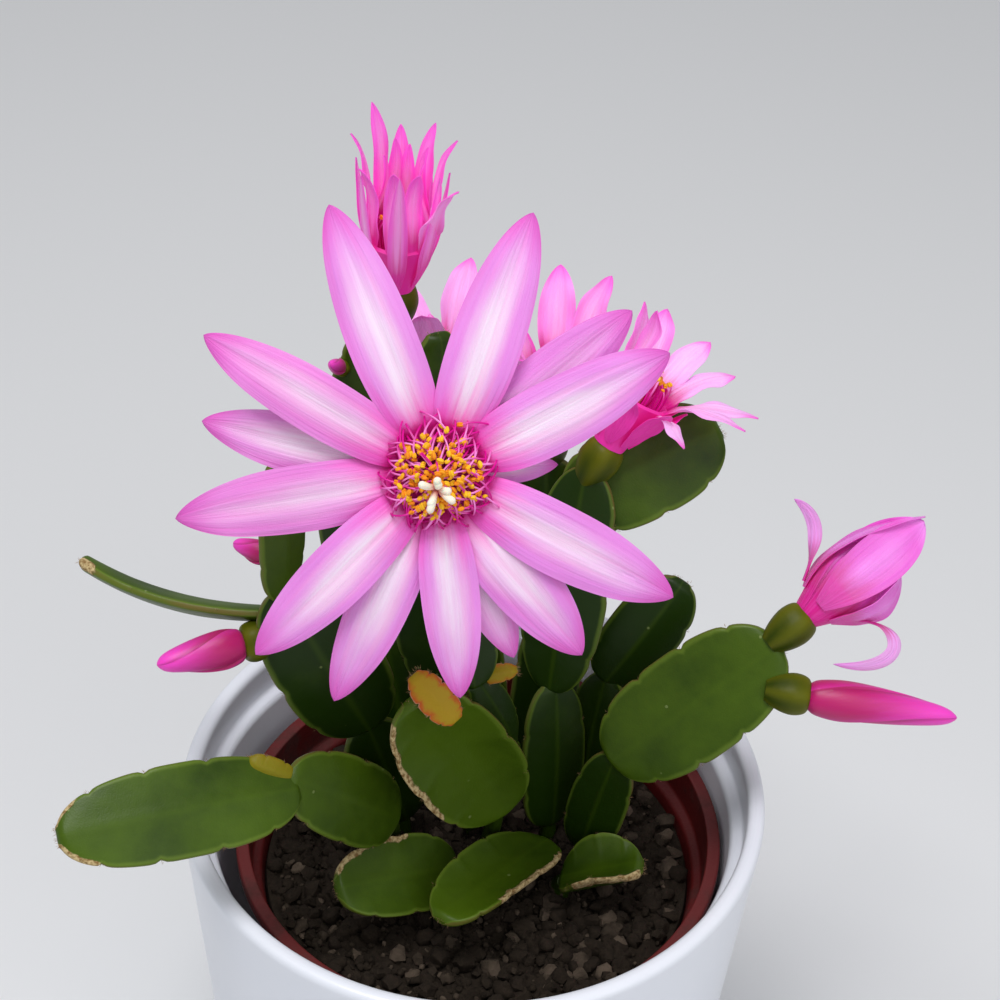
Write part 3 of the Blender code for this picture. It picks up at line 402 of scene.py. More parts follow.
# Short outer petals that cover the tubes of the blooms behind, as (count, first turn, the reach and
# the height of their tips), and the slim inner ones of the top bloom, as (turn, length, opening). A
# fade is how far a short petal's colours run from its foot to its tip. A slimness narrows petals.
SEPALS = {
    "bloom_top": (7, 12, 6.6, 13.0),
    "bloom_right": (7, -8, 8.2, 1.6),
    "bloom_back": (6, 40, 8.6, 5.0),
    "bloom_middle": (6, 66, 8.2, 5.4),
}
SEPAL_WIDTH = 4.2
SEPAL_TINT = 0.1
SEPAL_FADES = {"bloom_top": 0.72, "bloom_right": 0.24, "bloom_back": 0.5, "bloom_middle": 0.5}
INNER_PETALS = {
    "bloom_top": [
        (116, 16.5, 11), (75, 15.5, 12), (30, 16.0, 15), (-5, 14.5, 13), (-45, 13.5, 14), (160, 14.5, 12),
    ],
}
INNER_WIDTH = 2.6
INNER_LIFT = -0.8
SLIMNESS = {"bloom_top": 0.74}

# How pale each bloom's petals are, from their turn about its axis.
PALENESS = {
    "bloom_front": lambda turn: 0.9 if turn in (151.5, -167.0, 171.0, -66.0) else 0.25,
    "bloom_top": lambda turn: 0.75 if turn == -36 else 0.12,
    "bloom_right": lambda turn: 1.0 if -60 < turn < 60 else 0.45,
    "bloom_back": lambda turn: 1.0,
    "bloom_middle": lambda turn: 0.55,
}

# The half-open flower at the right: petals furled on a core, and two that have curled back.
HALF_OPEN = Bloom(
    (46.4, 2.8, 117.9),
    (0.75, 0.38, 0.54),
    [
        Petal(180, 8.4, ((3.6, -6.5), (6.9, -0.5), (4.6, 7.0), (0.5, 15.0))),
        Petal(264, 8.2, ((3.6, -6.5), (7.4, -0.5), (4.3, 7.0), (0.5, 14.3))),
        Petal(96, 8.2, ((3.6, -6.5), (7.2, -0.5), (4.2, 7.0), (0.6, 14.5))),
        Petal(-32, 7.6, ((3.4, -6.8), (6.0, -2.4), (8.8, 0.8), (4.6, 6.2))),
        Petal(38, 7.6, ((3.4, -6.8), (6.0, -2.4), (8.4, 0.8), (4.2, 6.8))),
        Petal(178, 3.0, ((4.4, -6.0), (7.4, -1.0), (10.2, 2.8), (15.3, 0.8))),
        Petal(-14, 3.0, ((4.6, -5.0), (9.4, 3.6), (18.4, -1.8), (8.6, -10.5))),
    ],
)
HALF_OPEN_CORE = [
    (0.03, 13.8), (0.8, 12.4), (2.3, 8.0), (4.3, 3.6), (5.2, -0.4), (4.5, -4.0), (3.1, -7.4),
    (2.4, -TUBE_LENGTH),
]

# Each bud: the foot of its ovary, its tip, its widest radius, and the length of its ovary.
Bud = namedtuple("Bud", "foot tip radius ovary")

BUDS = {
    "bud_right": Bud((46.6, -2.0, 110.8), (74.7, -4.8, 109.6), 3.2, 5.0),
    "bud_left": Bud((-32.5, -3.6, 118.2), (-48.5, -10.8, 118.2), 3.1, 4.0),
    "bud_left_small": Bud((-30.5, 0.5, 130.5), (-38.2, 2.8, 131.6), 1.9, 2.2),
    "bud_top": Bud((-23.3, 26.0, 148.5), (-24.8, 21.0, 152.8), 1.3, 2.0),
}
BUD_OUTLINE = [
    (0.62, 0.0), (0.86, 0.06), (1.0, 0.2), (0.98, 0.34), (0.86, 0.52),
    (0.7, 0.7), (0.52, 0.86), (0.36, 0.94), (0.16, 0.985), (0.03, 1.0),
]

# Stamens: how many, how wide their bunch is and how high it stands, and the stigma's lobes
Bunch = namedtuple("Bunch", "count reach height seed lobes lobe_length lobe_radius")

BUNCHES = {
    "bloom_front": Bunch(215, 6.7, 5.0, 3, 7, 4.3, 0.54),
    "bloom_top": Bunch(30, 3.3, 4.4, 5, 4, 2.2, 0.4),
    "bloom_right": Bunch(34, 3.5, 4.6, 7, 4, 2.2, 0.4),
    "bloom_back": Bunch(30, 3.5, 4.2, 11, 4, 2.2, 0.4),
    "bloom_middle": Bunch(30, 3.4, 4.2, 13, 4, 2.2, 0.4),
}


# Vectors and curves


def unit(vector):
    vector = np.asarray(vector, float)
    return vector / np.linalg.norm(vector, axis=-1, keepdims=True)


def soft_step(values, low, high):
    """0 below low, 1 above high, and smooth between."""
    share = np.clip((np.asarray(values, float) - low) / (high - low), 0, 1)
    return share * share * (3 - 2 * share)


def bezier(knots, u):
    """(points, directions) at the shares u of a cubic curve through four knots."""
    a, b, c, d = (np.asarray(knot, float) for knot in knots)
    u = np.asarray(u)[:, None]
    v = 1 - u
    points = a * v**3 + b * 3 * v * v * u + c * 3 * v * u * u + d * u**3
    return points, unit((b - a) * v * v + (c - b) * 2 * v * u + (d - c) * u * u)


def ripple(points, size, seed):
    """Smooth noise from about -1 to 1 at points in millimetres, with lumps of about that size."""
    shift = 37.1 * seed
    return np.array([noise.noise((p[0] / size + shift, p[1] / size, p[2] / size)) for p in points])


def seat_of(flower):
    """(foot, seat, radius) of the ovary under a bloom or a bud; the seat is where petals start."""
    foot = np.array(flower.foot)
    if isinstance(flower, Bud):
        return foot, foot + unit(np.array(flower.tip) - foot) * flower.ovary, flower.radius
    return foot, foot + unit(flower.axis) * OVARY_LENGTH, OVARY_TOP_RADIUS


def flower_frame(bloom):
    """(mouth, axis, right, up) of a bloom; its petals' turns are counted from right towards up."""
    axis = unit(bloom.axis)
    right = unit(np.array([1.0, 0, 0]) - axis * axis[0])
    return seat_of(bloom)[1] + axis * TUBE_LENGTH, axis, right, np.cross(axis, right)


def frame_matrix(origin, axis, right, up):
    """The matrix that takes a shape with its axis on +Z, in metres, to a place in the plant."""
    matrix = Matrix.Identity(4)
    for row in range(3):
        matrix[row] = (right[row], up[row], axis[row], origin[row] * MM)
    return matrix


def axis_frame(direction):
    """(axis, right, up) for a shape that is turned about a direction."""
    axis = unit(direction)
    helper = np.array([0, 0, 1.0]) if abs(axis[2]) < 0.9 else np.array([1.0, 0, 0])
    right = unit(np.cross(helper, axis))
    return axis, right, np.cross(axis, right)


# Meshes


class Form:
    """Closed surfaces gathered for one piece, with values at their points for its materials."""

    def __init__(self):
        self.points = []
        self.faces = []
        self.finishes = []
        self.values = {}
        self.count = 0

    def add(self, rings, finish=0, **values):
        """A tube through rings of points in millimetres, closed at both ends."""
        rings = np.asarray(rings, float)
        rows, sides = rings.shape[:2]
        points = np.vstack([rings.reshape(-1, 3), rings[0].mean(0), rings[-1].mean(0)])
        index = np.arange(rows * sides).reshape(rows, sides)
        turned = np.roll(index, -1, axis=1)
        faces = np.stack([index[:-1], turned[:-1], turned[1:], index[1:]], -1).reshape(-1, 4).tolist()
        first, last = rows * sides, rows * sides + 1
        faces += [[first, b, a] for a, b in zip(index[0].tolist(), turned[0].tolist())]
        faces += [[last, a, b] for a, b in zip(index[-1].tolist(), turned[-1].tolist())]
        middle = points.mean(0)
        corners = [[points[i] - middle for i in face[:3]] for face in faces]
        if sum(np.dot(a, np.cross(b, c)) for a, b, c in corners) < 0:
            faces = [face[::-1] for face in faces]
        self.points.append(points)
        self.faces += [[i + self.count for i in face] for face in faces]
        self.finishes += [finish] * len(faces)
        for name in set(self.values) | set(values):
            given = np.broadcast_to(np.asarray(values.get(name, 0.0), float), (rows, sides))
            ends = [given[0].mean(), given[-1].mean()]
            held = self.values.setdefault(name, np.zeros(self.count))
            self.values[name] = np.concatenate([held, given.ravel(), ends])
        self.count += len(points)

    def build(self, name, finishes):
        """The mesh object of all the surfaces, shaded smooth, with its values as attributes."""
        mesh = bpy.data.meshes.new(name)
        mesh.from_pydata(np.vstack(self.points) * MM, [], self.faces)
        mesh.polygons.foreach_set("material_index", self.finishes)
        for value_name, numbers in self.values.items():
            attribute = mesh.attributes.new(value_name, "FLOAT", "POINT")
            attribute.data.foreach_set("value", numbers.astype(np.float32))
        return shaped(name, mesh, finishes)

    def dress(self, name, finishes, slot, *nodes):
        """Builds the piece and gives it its body and solids; the slot is not used."""
        dress(self.build(name, finishes), slot, *nodes)


def shaped(name, mesh, finishes):
    """An object in the scene for a finished mesh, with its materials."""
    for finish in finishes:
        mesh.materials.append(finish)
    mesh.shade_smooth()
    mesh.set_sharp_from_angle(angle=SMOOTH_ANGLE)
    made = bpy.data.objects.new(name, mesh)
    bpy.context.scene.collection.objects.link(made)
    return made


def dress(piece, slot, *nodes):
    """The piece rides with the plant and stands for its solids; the slot is not used."""
    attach(piece, "root")
    if nodes:
        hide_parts(*nodes)


def circle(sides):
    turns = np.linspace(0, 2 * math.pi, sides, endpoint=False)
    return np.cos(turns), np.sin(turns), turns


def turned_rings(profile, sides, origin, axis, right, up, relief=1.0):
    """Rings of a turned shape through (radius, height); the relief multiplies its radius."""
    cosines, sines, _ = circle(sides)
    around = right * cosines[:, None] + up * sines[:, None]
    rings = []
    for radius, height in profile:
        reach = (radius * relief * np.ones(sides))[:, None]
        rings.append(origin + axis * height + reach * around)
    return np.array(rings)


def tube_rings(points, radii, sides):
    """Rings of a rod along points, which turn as little as they can from one to the next."""
    points = np.asarray(points, float)
    directions = unit(np.gradient(points, axis=0))
    cosines, sines, _ = circle(sides)
    side = unit(np.cross(directions[0], [0.31, 0.52, 0.8]))
    rings = []
    for point, direction, radius in zip(points, directions, np.broadcast_to(radii, len(points))):
        side = unit(side - direction * np.dot(side, direction))
        other = np.cross(direction, side)
        rings.append(point + radius * (side * cosines[:, None] + other * sines[:, None]))
    return np.array(rings)


def smooth_line(knots, count):
    """Points along a smooth curve through knots, from its first to its last."""
    knots = np.asarray(knots, float)
    padded = np.vstack([2 * knots[0] - knots[1], knots, 2 * knots[-1] - knots[-2]])
    found = []
    for place in np.linspace(0, len(knots) - 1 - 1e-9, count):
        index, t = int(place), place - int(place)
        a, b, c, d = padded[index : index + 4]
        bend, twist = 2 * a - 5 * b + 4 * c - d, 3 * b - a - 3 * c + d
        found.append(0.5 * (2 * b + (c - a) * t + bend * t**2 + twist * t**3))
    return np.array(found)


def filleted(corners, steps=6):
    """A turned outline as (radius, height), with each (radius, height, rounding) corner an arc."""
    outline = []
    for index, (radius, height, rounding) in enumerate(corners):
        here = np.array([radius, height])
        if not rounding or index in (0, len(corners) - 1):
            outline.append(here)
            continue
        before = unit(np.array(corners[index - 1][:2]) - here)
        after = unit(np.array(corners[index + 1][:2]) - here)
        for share in np.linspace(0, 1, steps + 1):
            start, end = here + before * rounding, here + after * rounding
            outline.append(start * (1 - share) ** 2 + here * 2 * share * (1 - share) + end * share**2)
    return outline


def turned_pot(corners, centre, steps):
    """A round pot as a form, from its outline's (radius, height, rounding) corners."""
    form = Form()
    origin = np.array([*centre, 0.0])
    form.add(turned_rings(filleted(corners), steps, origin, *np.eye(3)[[2, 0, 1]]))
    return form


# Node trees


def math_operator(operation, swapped=False):
    """A Python operator on a wire and another value, as a Math node."""

    def apply(self, other):
        values = (other, self) if swapped else (self, other)
        return self.graph.math(operation, *values)

    return apply


class Wire:
    """A socket of a node tree that takes part in Python sums."""

    def __init__(self, graph, socket):
        self.graph = graph
        self.socket = socket

    def __getitem__(self, name):
        return Wire(self.graph, self.socket.node.outputs[name])

    def __abs__(self):
        return self.graph.math("ABSOLUTE", self)

    __add__ = __radd__ = math_operator("ADD")
    __mul__ = __rmul__ = math_operator("MULTIPLY")
    __sub__ = math_operator("SUBTRACT")
    __rsub__ = math_operator("SUBTRACT", swapped=True)
    __truediv__ = math_operator("DIVIDE")
    __rtruediv__ = math_operator("DIVIDE", swapped=True)
    __pow__ = math_operator("POWER")
    __rpow__ = math_operator("POWER", swapped=True)


class Graph:
    """Adds nodes to a shader or geometry node tree."""

    def __init__(self, tree):
        self.tree = tree

    def feed(self, socket, value):
        if isinstance(value, Wire):
            self.tree.links.new(value.socket, socket)
        elif socket.type == "RGBA":
            socket.default_value = (*value[:3], 1.0)
        else:
            socket.default_value = value

    def node(self, kind, settings=None, sockets=None):
        """A node with its settings and its sockets' values or links, as its first output."""
        made = self.tree.nodes.new(kind)
        for name, value in (settings or {}).items():
            setattr(made, name, value)
        for name, value in (sockets or {}).items():
            self.feed(made.inputs[name], value)
        return Wire(self, made.outputs[0])

    def math(self, operation, *values):
        return self.node("ShaderNodeMath", {"operation": operation}, dict(enumerate(values)))

    def vector_math(self, operation, *values):
        return self.node("ShaderNodeVectorMath", {"operation": operation}, dict(enumerate(values)))

    def scaled(self, vector, factor):
        sockets = {0: vector, "Scale": factor}
        return self.node("ShaderNodeVectorMath", {"operation": "SCALE"}, sockets)

    def vector(self, x, y, z):
        return self.node("ShaderNodeCombineXYZ", None, {0: x, 1: y, 2: z})

    def step(self, value, low, high):
        """0 below low, 1 above high, and smooth between; the other way round if high is lower."""
        settings = {"interpolation_type": "SMOOTHSTEP", "clamp": True}
        sockets = {"Value": value, "From Min": low, "From Max": high}
        return self.node("ShaderNodeMapRange", settings, sockets)

    def mix(self, factor, first, second):
        """A colour between two colours."""
        settings = {"data_type": "RGBA", "blend_type": "MIX", "clamp_factor": True}
        return self.node("ShaderNodeMix", settings, {0: factor, 6: first, 7: second})[2]


class Finish(Graph):
    """A material: its Principled shader, and the patterns that feed it."""

    def __init__(self, name, **constants):
        self.material = bpy.data.materials.new(name)
        self.material.use_nodes = True
        super().__init__(self.material.node_tree)
        self.shader = self.tree.nodes["Principled BSDF"]
        for socket_name, value in constants.items():
            self.set(socket_name.replace("_", " "), value)
        self.place = self.node("ShaderNodeTexCoord")["Object"]

    def set(self, name, value):
        self.feed(self.shader.inputs[name], value)

    def value(self, name):
        """A number kept at the points of the piece."""
        return self.node("ShaderNodeAttribute", {"attribute_name": name})["Fac"]

    def noise(self, size, detail=2.0, rough=0.5):
        """Noise from 0 to 1 with lumps of about a size in millimetres."""
        return self.noise_at(self.place, 1 / (size * MM), detail, rough)

    def noise_at(self, place, scale, detail=2.0, rough=0.5):
        sockets = {"Vector": place, "Scale": scale, "Detail": detail, "Roughness": rough}
        return self.node("ShaderNodeTexNoise", {"noise_dimensions": "3D"}, sockets)["Fac"]

    def streaks(self, across, stretch, shifts, detail=2.0, rough=0.5):
        """Lengthwise streaks on a petal, from its own along and across, moved by its tone."""
        tone, along = self.value("tone"), self.value("along")
        x = across * stretch[0] + tone * shifts[0]
        return self.noise_at(self.vector(x, along * stretch[1], tone * shifts[1]), 1.0, detail, rough)

    def cells(self, size):
        """(distance from a cell's point in cell sizes, a random number for the cell)."""
        sockets = {"Vector": self.place, "Scale": 1 / (size * MM)}
        made = self.node("ShaderNodeTexVoronoi", None, sockets)
        return made["Distance"], self.node("ShaderNodeSeparateColor", None, {0: made["Color"]})

    def painted(self, colour, roughness, relief=None, depth=0.0):
        """The material, with its colour, its roughness, and relief of a depth in millimetres."""
        self.set("Base Color", colour)
        self.set("Roughness", roughness)
        if relief is not None:
            sockets = {"Height": relief, "Distance": depth * MM, "Strength": 1.0}
            self.set("Normal", self.node("ShaderNodeBump", None, sockets)["Normal"])
        return self.material


class Growth(Graph):
    """A Geometry Nodes tree with named inputs, which makes what repeats."""

    KINDS = {float: "NodeSocketFloat", int: "NodeSocketInt", bpy.types.Material: "NodeSocketMaterial"}

    def __init__(self, name, **inputs):
        super().__init__(bpy.data.node_groups.new(name, "GeometryNodeTree"))
        face = self.tree.interface
        face.new_socket("Geometry", in_out="INPUT", socket_type="NodeSocketGeometry")
        face.new_socket("Geometry", in_out="OUTPUT", socket_type="NodeSocketGeometry")
        for label, value in inputs.items():
            face.new_socket(label, in_out="INPUT", socket_type=self.KINDS[type(value)])
        self.given = inputs
        self.entry = self.tree.nodes.new("NodeGroupInput")
        self.exit = self.tree.nodes.new("NodeGroupOutput")
        self.number = self.node("GeometryNodeInputIndex")

    def input(self, name):
        return Wire(self, self.entry.outputs[name])

    def geo(self, kind, *first, **named):
        """A geometry node; its first sockets come in order, and the others by their names."""
        sockets = dict(enumerate(first))
        sockets.update((name.replace("_", " "), value) for name, value in named.items())
        return self.node("GeometryNode" + kind, None, sockets)

    def random(self, low, high, draw):
        """A random number or vector for each element; each draw has a seed of its own."""
        is_vector = isinstance(low, tuple)
        kind, first, output = ("FLOAT_VECTOR", 0, 0) if is_vector else ("FLOAT", 2, 1)
        seed = self.input("Seed") + float(draw)
        sockets = {first: low, first + 1: high, "ID": self.number, "Seed": seed}
        return self.node("FunctionNodeRandomValue", {"data_type": kind}, sockets)[output]

    def store(self, geometry, name, value):
        settings = {"data_type": "FLOAT", "domain": "POINT"}
        sockets = {0: geometry, "Name": name, "Value": value}
        return self.node("GeometryNodeStoreNamedAttribute", settings, sockets)

    def named(self, name, kind="FLOAT"):
        return self.node("GeometryNodeInputNamedAttribute", {"data_type": kind}, {"Name": name})

    def join(self, branches):
        made = self.tree.nodes.new("GeometryNodeJoinGeometry")
        for branch in branches:
            self.tree.links.new(branch.socket, made.inputs[0])
        return Wire(self, made.outputs[0])

    def grown(self, name, branches, source_mesh=None):
        """The plain mesh that the tree's branches make, from a source mesh or from nothing."""
        real = self.geo("RealizeInstances", self.join(branches))
        self.tree.links.new(real.socket, self.exit.inputs[0])
        source = source_mesh or bpy.data.meshes.new(name + "_start")
        carrier = bpy.data.objects.new(name, source)
        bpy.context.scene.collection.objects.link(carrier)
        step = carrier.modifiers.new("Growth", "NODES")
        step.node_group = self.tree
        for item in self.tree.interface.items_tree:
            if item.in_out == "INPUT" and item.name in self.given:
                step[item.identifier] = self.given[item.name]
        bpy.context.view_layer.update()
        graph = bpy.context.evaluated_depsgraph_get()
        mesh = bpy.data.meshes.new_from_object(carrier.evaluated_get(graph))
        carrier.modifiers.remove(step)
        bpy.data.objects.remove(carrier)
        if not mesh.polygons:
            raise RuntimeError(f"{name} came out empty")
        mesh.name = name
        return mesh


# Materials


def glaze_finish(settings):
    """Satin ceramic glaze with soft clouds and a faint orange peel."""
    finish = Finish("glaze", Coat_Weight=0.25, Coat_Roughness=0.12, IOR=1.5)
    cloud, peel, pits = finish.noise(22, 3), finish.noise(1.6), finish.noise(0.5)
    colour = finish.mix(cloud * 0.5, settings.glaze_colour, settings.glaze_shade)
    return finish.painted(colour, 0.3 + 0.12 * cloud, peel * 0.7 + pits * 0.3, 0.03)


def plastic_finish(settings):
    """Thin red-brown moulded plastic, dusted with soil."""
    finish = Finish("terracotta_plastic", IOR=1.48)
    dust = finish.step(finish.noise(7, 4, 0.65), 0.5, 0.72)
    grain, wear = finish.noise(0.45), finish.noise(14, 3)
    colour = finish.mix(wear * 0.6, settings.plastic_colour, settings.plastic_shade)
    colour = finish.mix(dust * 0.55, colour, settings.dust_colour)
    return finish.painted(colour, 0.42 + 0.35 * dust + 0.1 * grain, grain + dust * 0.5, 0.05)


def soil_finish(settings, name="soil"):
    """Dark peat with brown and grey crumbs."""
    finish = Finish(name, Specular_IOR_Level=0.2)
    lumps, mottle = finish.noise(1.1, 5, 0.7), finish.noise(4, 4, 0.6)
    dark = finish.mix(lumps, settings.soil_dark, settings.soil_colour)
    grains = finish.step(finish.value("tone") + 0.4 * (mottle - 0.5), 0.72, 1.1)
    colour = finish.mix(grains, dark, settings.grain_colour)
    return finish.painted(colour, 0.8 + 0.18 * lumps, lumps, 0.5)


def skin_finish(settings):
    """Waxy skin with soft patches, pale dots, a thin brown margin and cork where it has aged."""
    finish = Finish("stem", Coat_Weight=0.02, Coat_Roughness=0.25, Specular_IOR_Level=0.2)
    across, along = abs(finish.value("across")), finish.value("along")
    patches, mottle, pores = finish.noise(18), finish.noise(2.2, 4, 0.6), finish.noise(0.28)
    uneven = mottle - 0.5
    # The tone is each segment's random tone, lowered as painted shade on the middle segments
    blend = patches + 0.22 * uneven + 0.3 * finish.value("tone") + 0.16 * along
    colour = finish.mix(finish.step(blend, 0.22, 0.95), settings.skin_deep, settings.skin_light)
    rib = finish.step(across, 0.12, 0.0)
    colour = finish.mix(rib * 0.22, colour, settings.skin_light)
    # Lighter rim beside each margin: partly thin flesh, partly a painted edge highlight
    rim_highlight = finish.step(across + 0.04 * uneven, 0.86, 0.95)
    colour = finish.mix(rim_highlight * 0.45, colour, settings.skin_rim_highlight)
    edge = finish.step(across + 0.03 * uneven, 0.965, 1.0)
    dry = 0.25 + 0.5 * finish.step(patches, 0.45, 0.6)
    colour = finish.mix(edge * dry, colour, settings.skin_margin)
    distance, cell = finish.cells(3.4)
    dots = finish.step(distance, 0.1, 0.05) * finish.step(cell, 0.76, 0.8)
    colour = finish.mix(dots * 0.5, colour, settings.skin_dots)
    fray = 0.8 * (finish.noise(1.0, 4, 0.7) - 0.5) + 0.9 * (finish.noise(4.0) - 0.5)
    cork = finish.step(finish.value("cork") + fray, 0.5, 0.74)
    cracks = finish.step(finish.noise(0.7, 4, 0.6), 0.4, 0.66)
    bark = finish.mix(cracks, settings.cork_colour, settings.cork_shade)
    relief = pores * 0.12 + mottle * 0.2 + dots * 0.3 + cork * (0.35 + finish.noise(0.4, 3))
    return finish.painted(finish.mix(cork, colour, bark), 0.3 + 0.16 * mottle + 0.5 * cork, relief, 0.2)


def ovary_finish(settings):
    """Smooth olive green, lighter on its ribs and towards the flower."""
    finish = Finish("ovary", Specular_IOR_Level=0.14)
    mottle = finish.noise(1.6, 3)
    height = finish.step(finish.value("along") + 0.2 * mottle, 0.2, 1.1)
    colour = finish.mix(height, settings.ovary_dark, settings.ovary_colour)
    colour = finish.mix(finish.value("rib") * 0.5, colour, settings.ovary_rib)
    return finish.painted(colour, 0.38 + 0.1 * mottle, mottle, 0.08)


def young_finish(settings):
    """Young tissue: yellow in the middle, orange to red at its margin."""
    finish = Finish("young", Subsurface_Weight=0.1, Subsurface_Scale=0.001, Specular_IOR_Level=0.25)
    across, tone = abs(finish.value("across")), finish.value("tone")
    mottle, young = finish.noise(1.2, 3), 1.0 - tone
    colour = finish.mix(tone, settings.young_colour, settings.young_green)
    blush = finish.step(across + 0.9 * (mottle - 0.5), 0.45, 1.05) * young
    colour = finish.mix(blush, colour, settings.young_blush)
    edge = finish.step(across + 0.2 * (mottle - 0.5), 0.93, 1.0)
    colour = finish.mix(edge * 0.7 * young, colour, settings.young_edge)
    return finish.painted(colour, 0.45 + 0.1 * mottle, mottle, 0.12)


def petal_finish(name, settings, family, stripe, painted_glow=0.0):
    """Silky petals: paler along the middle, deeper at the throat, margins and tip, with fine veins.

    The family names the settings that hold the colours. A stripe of 1 is the palest middle.
    """
    edge, middle, throat, tip, paler = (getattr(settings, f"{family}_{part}") for part in PETAL_PARTS)
    finish = Finish(
        name,
        Sheen_Weight=0.05,
        Sheen_Roughness=0.4,
        Sheen_Tint=(1.0, 0.85, 1.0),
        Subsurface_Weight=settings.glow,
        Subsurface_Radius=(1.0, 0.55, 0.8),
        Subsurface_Scale=0.0012,
    )
    along, across, tone = finish.value("along"), finish.value("across"), finish.value("tone")
    band = abs(across)
    veins = finish.streaks(across, (10.0, 2.2), (31.0, 17.0), 4, 0.6)
    ridges = finish.streaks(across, (3.4, 1.4), (11.0, 13.0))
    cloud = finish.streaks(across, (1.1, 2.4), (9.0, 5.0))
    sparkle = finish.noise(0.16)
    broken = 0.7 * (cloud - 0.5) + 0.5 * (ridges - 0.5) + 0.12 * (veins - 0.5)
    pale = finish.step(band + broken, 0.82, 0.0) * finish.step(along, 0.1, 0.34)
    pale = pale * finish.step(along + 0.2 * (cloud - 0.5), 1.0, 0.6)
    colour = finish.mix(pale * stripe, finish.mix(finish.value("tint"), edge, paler), middle)
    colour = finish.mix(finish.step(tone, 0.5, 1.0) * 0.22, colour, tip)
    foot = along + 0.3 * (ridges - 0.5) - 0.05 * band
    colour = finish.mix(finish.step(foot, 0.46, 0.16) * 0.82, colour, throat)
    gullet = finish.step(along + 0.06 * (ridges - 0.5), 0.26, 0.19)
    colour = finish.mix(gullet, colour, settings.gullet)
    point = along + 0.06 * band + 0.08 * (cloud - 0.5)
    colour = finish.mix(finish.step(point, 0.86, 1.03) * 0.85, colour, tip)
    colour = finish.mix(finish.step(ridges, 0.56, 0.34) * 0.16, colour, throat)
    colour = finish.mix(finish.step(veins, 0.6, 0.38) * 0.1, colour, tip)
    colour = finish.mix(finish.value("outside") * 0.2, colour, tip)
    # Painted glow: the petals also emit their colour, for daylight passing through them
    if painted_glow:
        finish.set("Emission Color", colour)
        finish.set("Emission Strength", painted_glow)
    relief = veins * 0.9 + ridges * 1.2 + sparkle * 0.2
    return finish.painted(colour, 0.46 + 0.14 * sparkle, relief, 0.16)


def bud_finish(settings):
    """Furled petals: deep magenta at the foot, pinker towards the tip and on the layers' edges."""
    finish = Finish("bud", Sheen_Weight=0.1, Subsurface_Weight=0.12, Subsurface_Scale=0.001)
    fold = finish.value("fold")
    streaks = finish.streaks(fold, (3.0, 1.6), (5.0, 3.0), 4, 0.6)
    height = finish.step(finish.value("along") + 0.25 * (streaks - 0.5), 0.25, 1.0)
    colour = finish.mix(height, settings.bud_colour, settings.bud_tip)
    colour = finish.mix(finish.step(fold, 0.7, 1.0) * 0.3, colour, settings.bud_tip)
    # Painted shade in the folds, where each layer tucks under the edge of the next
    colour = finish.mix(finish.step(fold, 0.2, 0.0) * 0.5, colour, settings.bud_painted_shade)
    return finish.painted(colour, 0.38 + 0.14 * streaks, streaks, 0.12)


def filament_finish(settings):
    """Magenta threads that turn pale towards the anther."""
    finish = Finish("filament", Specular_IOR_Level=0.3)
    pale = finish.step(finish.value("along") + 0.3 * (finish.value("tone") - 0.5), 0.76, 1.04)
    colour = finish.mix(pale, settings.filament_colour, settings.filament_tip)
    return finish.painted(colour, 0.4 + 0.1 * finish.noise(0.4))


def anther_finish(settings):
    """Dusty orange-yellow pollen sacs."""
    finish = Finish("anther")
    dust = finish.noise(0.12, 3)
    pollen = finish.step(finish.value("tone") + 0.3 * (dust - 0.5), 0.2, 0.9)
    colour = finish.mix(pollen, settings.anther_colour, settings.anther_pale)
    return finish.painted(colour, 0.7 + 0.2 * dust, dust, 0.06)


def stigma_finish(settings):
    """Cream velvet lobes on a salmon style."""
    finish = Finish("stigma", Subsurface_Weight=0.2, Subsurface_Scale=0.001)
    velvet = finish.noise(0.18, 3)
    height = finish.step(finish.value("along"), 0.34, 0.78)
    colour = finish.mix(height, settings.style_colour, settings.stigma_colour)
    return finish.painted(colour, 0.55 + 0.2 * velvet, velvet, 0.06)


def bristle_finish(settings):
    """Tan wool and bristles of the areoles."""
    finish = Finish("areole")
    fibre = finish.noise(0.3, 3)
    colour = finish.mix(fibre, settings.wool_colour, settings.wool_shade)
    return finish.painted(colour, 0.75 + 0.2 * fibre)


# Stem segments


def pad_travel(u):
    """Rows lie closer together at a segment's two ends."""
    return 0.5 * u + 0.5 * (1 - np.cos(math.pi * u)) / 2


def pad_share(u, lobes, depth):
    """Half width of a segment at u as a share of its widest, with a notch between its lobes."""
    body = (1 - np.abs(2 * pad_travel(u) - 1) ** 2.6) ** (1 / 2.3)
    notch = (1 - np.abs(np.sin(math.pi * lobes * u))) ** 4.5
    return body * (1 - depth * notch)


def pad_frame(shape):
    """(run from end to end, along, facing, across) of a segment."""
    run = shape.tip - shape.base
    along = unit(run)
    facing = np.array(shape.facing, float)
    facing = unit(facing - along * np.dot(facing, along))
    return run, along, facing, np.cross(along, facing)


def pad_half(shape, u):
    neck = min(PAD_NECK_WIDTH, PAD_NECK_SHARE * shape.width)
    depth = YOUNG_NOTCH if shape.width < YOUNG_WIDTH else PAD_NOTCH
    return np.maximum(neck, shape.width * pad_share(u, shape.lobes, depth)) / 2


def pad_surface(shape, u, s):
    """Points of a segment's middle surface, for u along it and s across it."""
    run, along, facing, across = pad_frame(shape)
    t = pad_travel(u)
    belly = 4 * t * (1 - t)
    lift = shape.arch * belly + shape.cup * belly * s * s
    start = shape.base - along * PAD_SUNK * (1 - t)[..., None]
    sideways = across * (s * pad_half(shape, u))[..., None]
    return start + run * t[..., None] + sideways + facing * lift[..., None]


def pad_point(shape, u, s):
    return pad_surface(shape, np.array([u]), np.array([s]))[0]


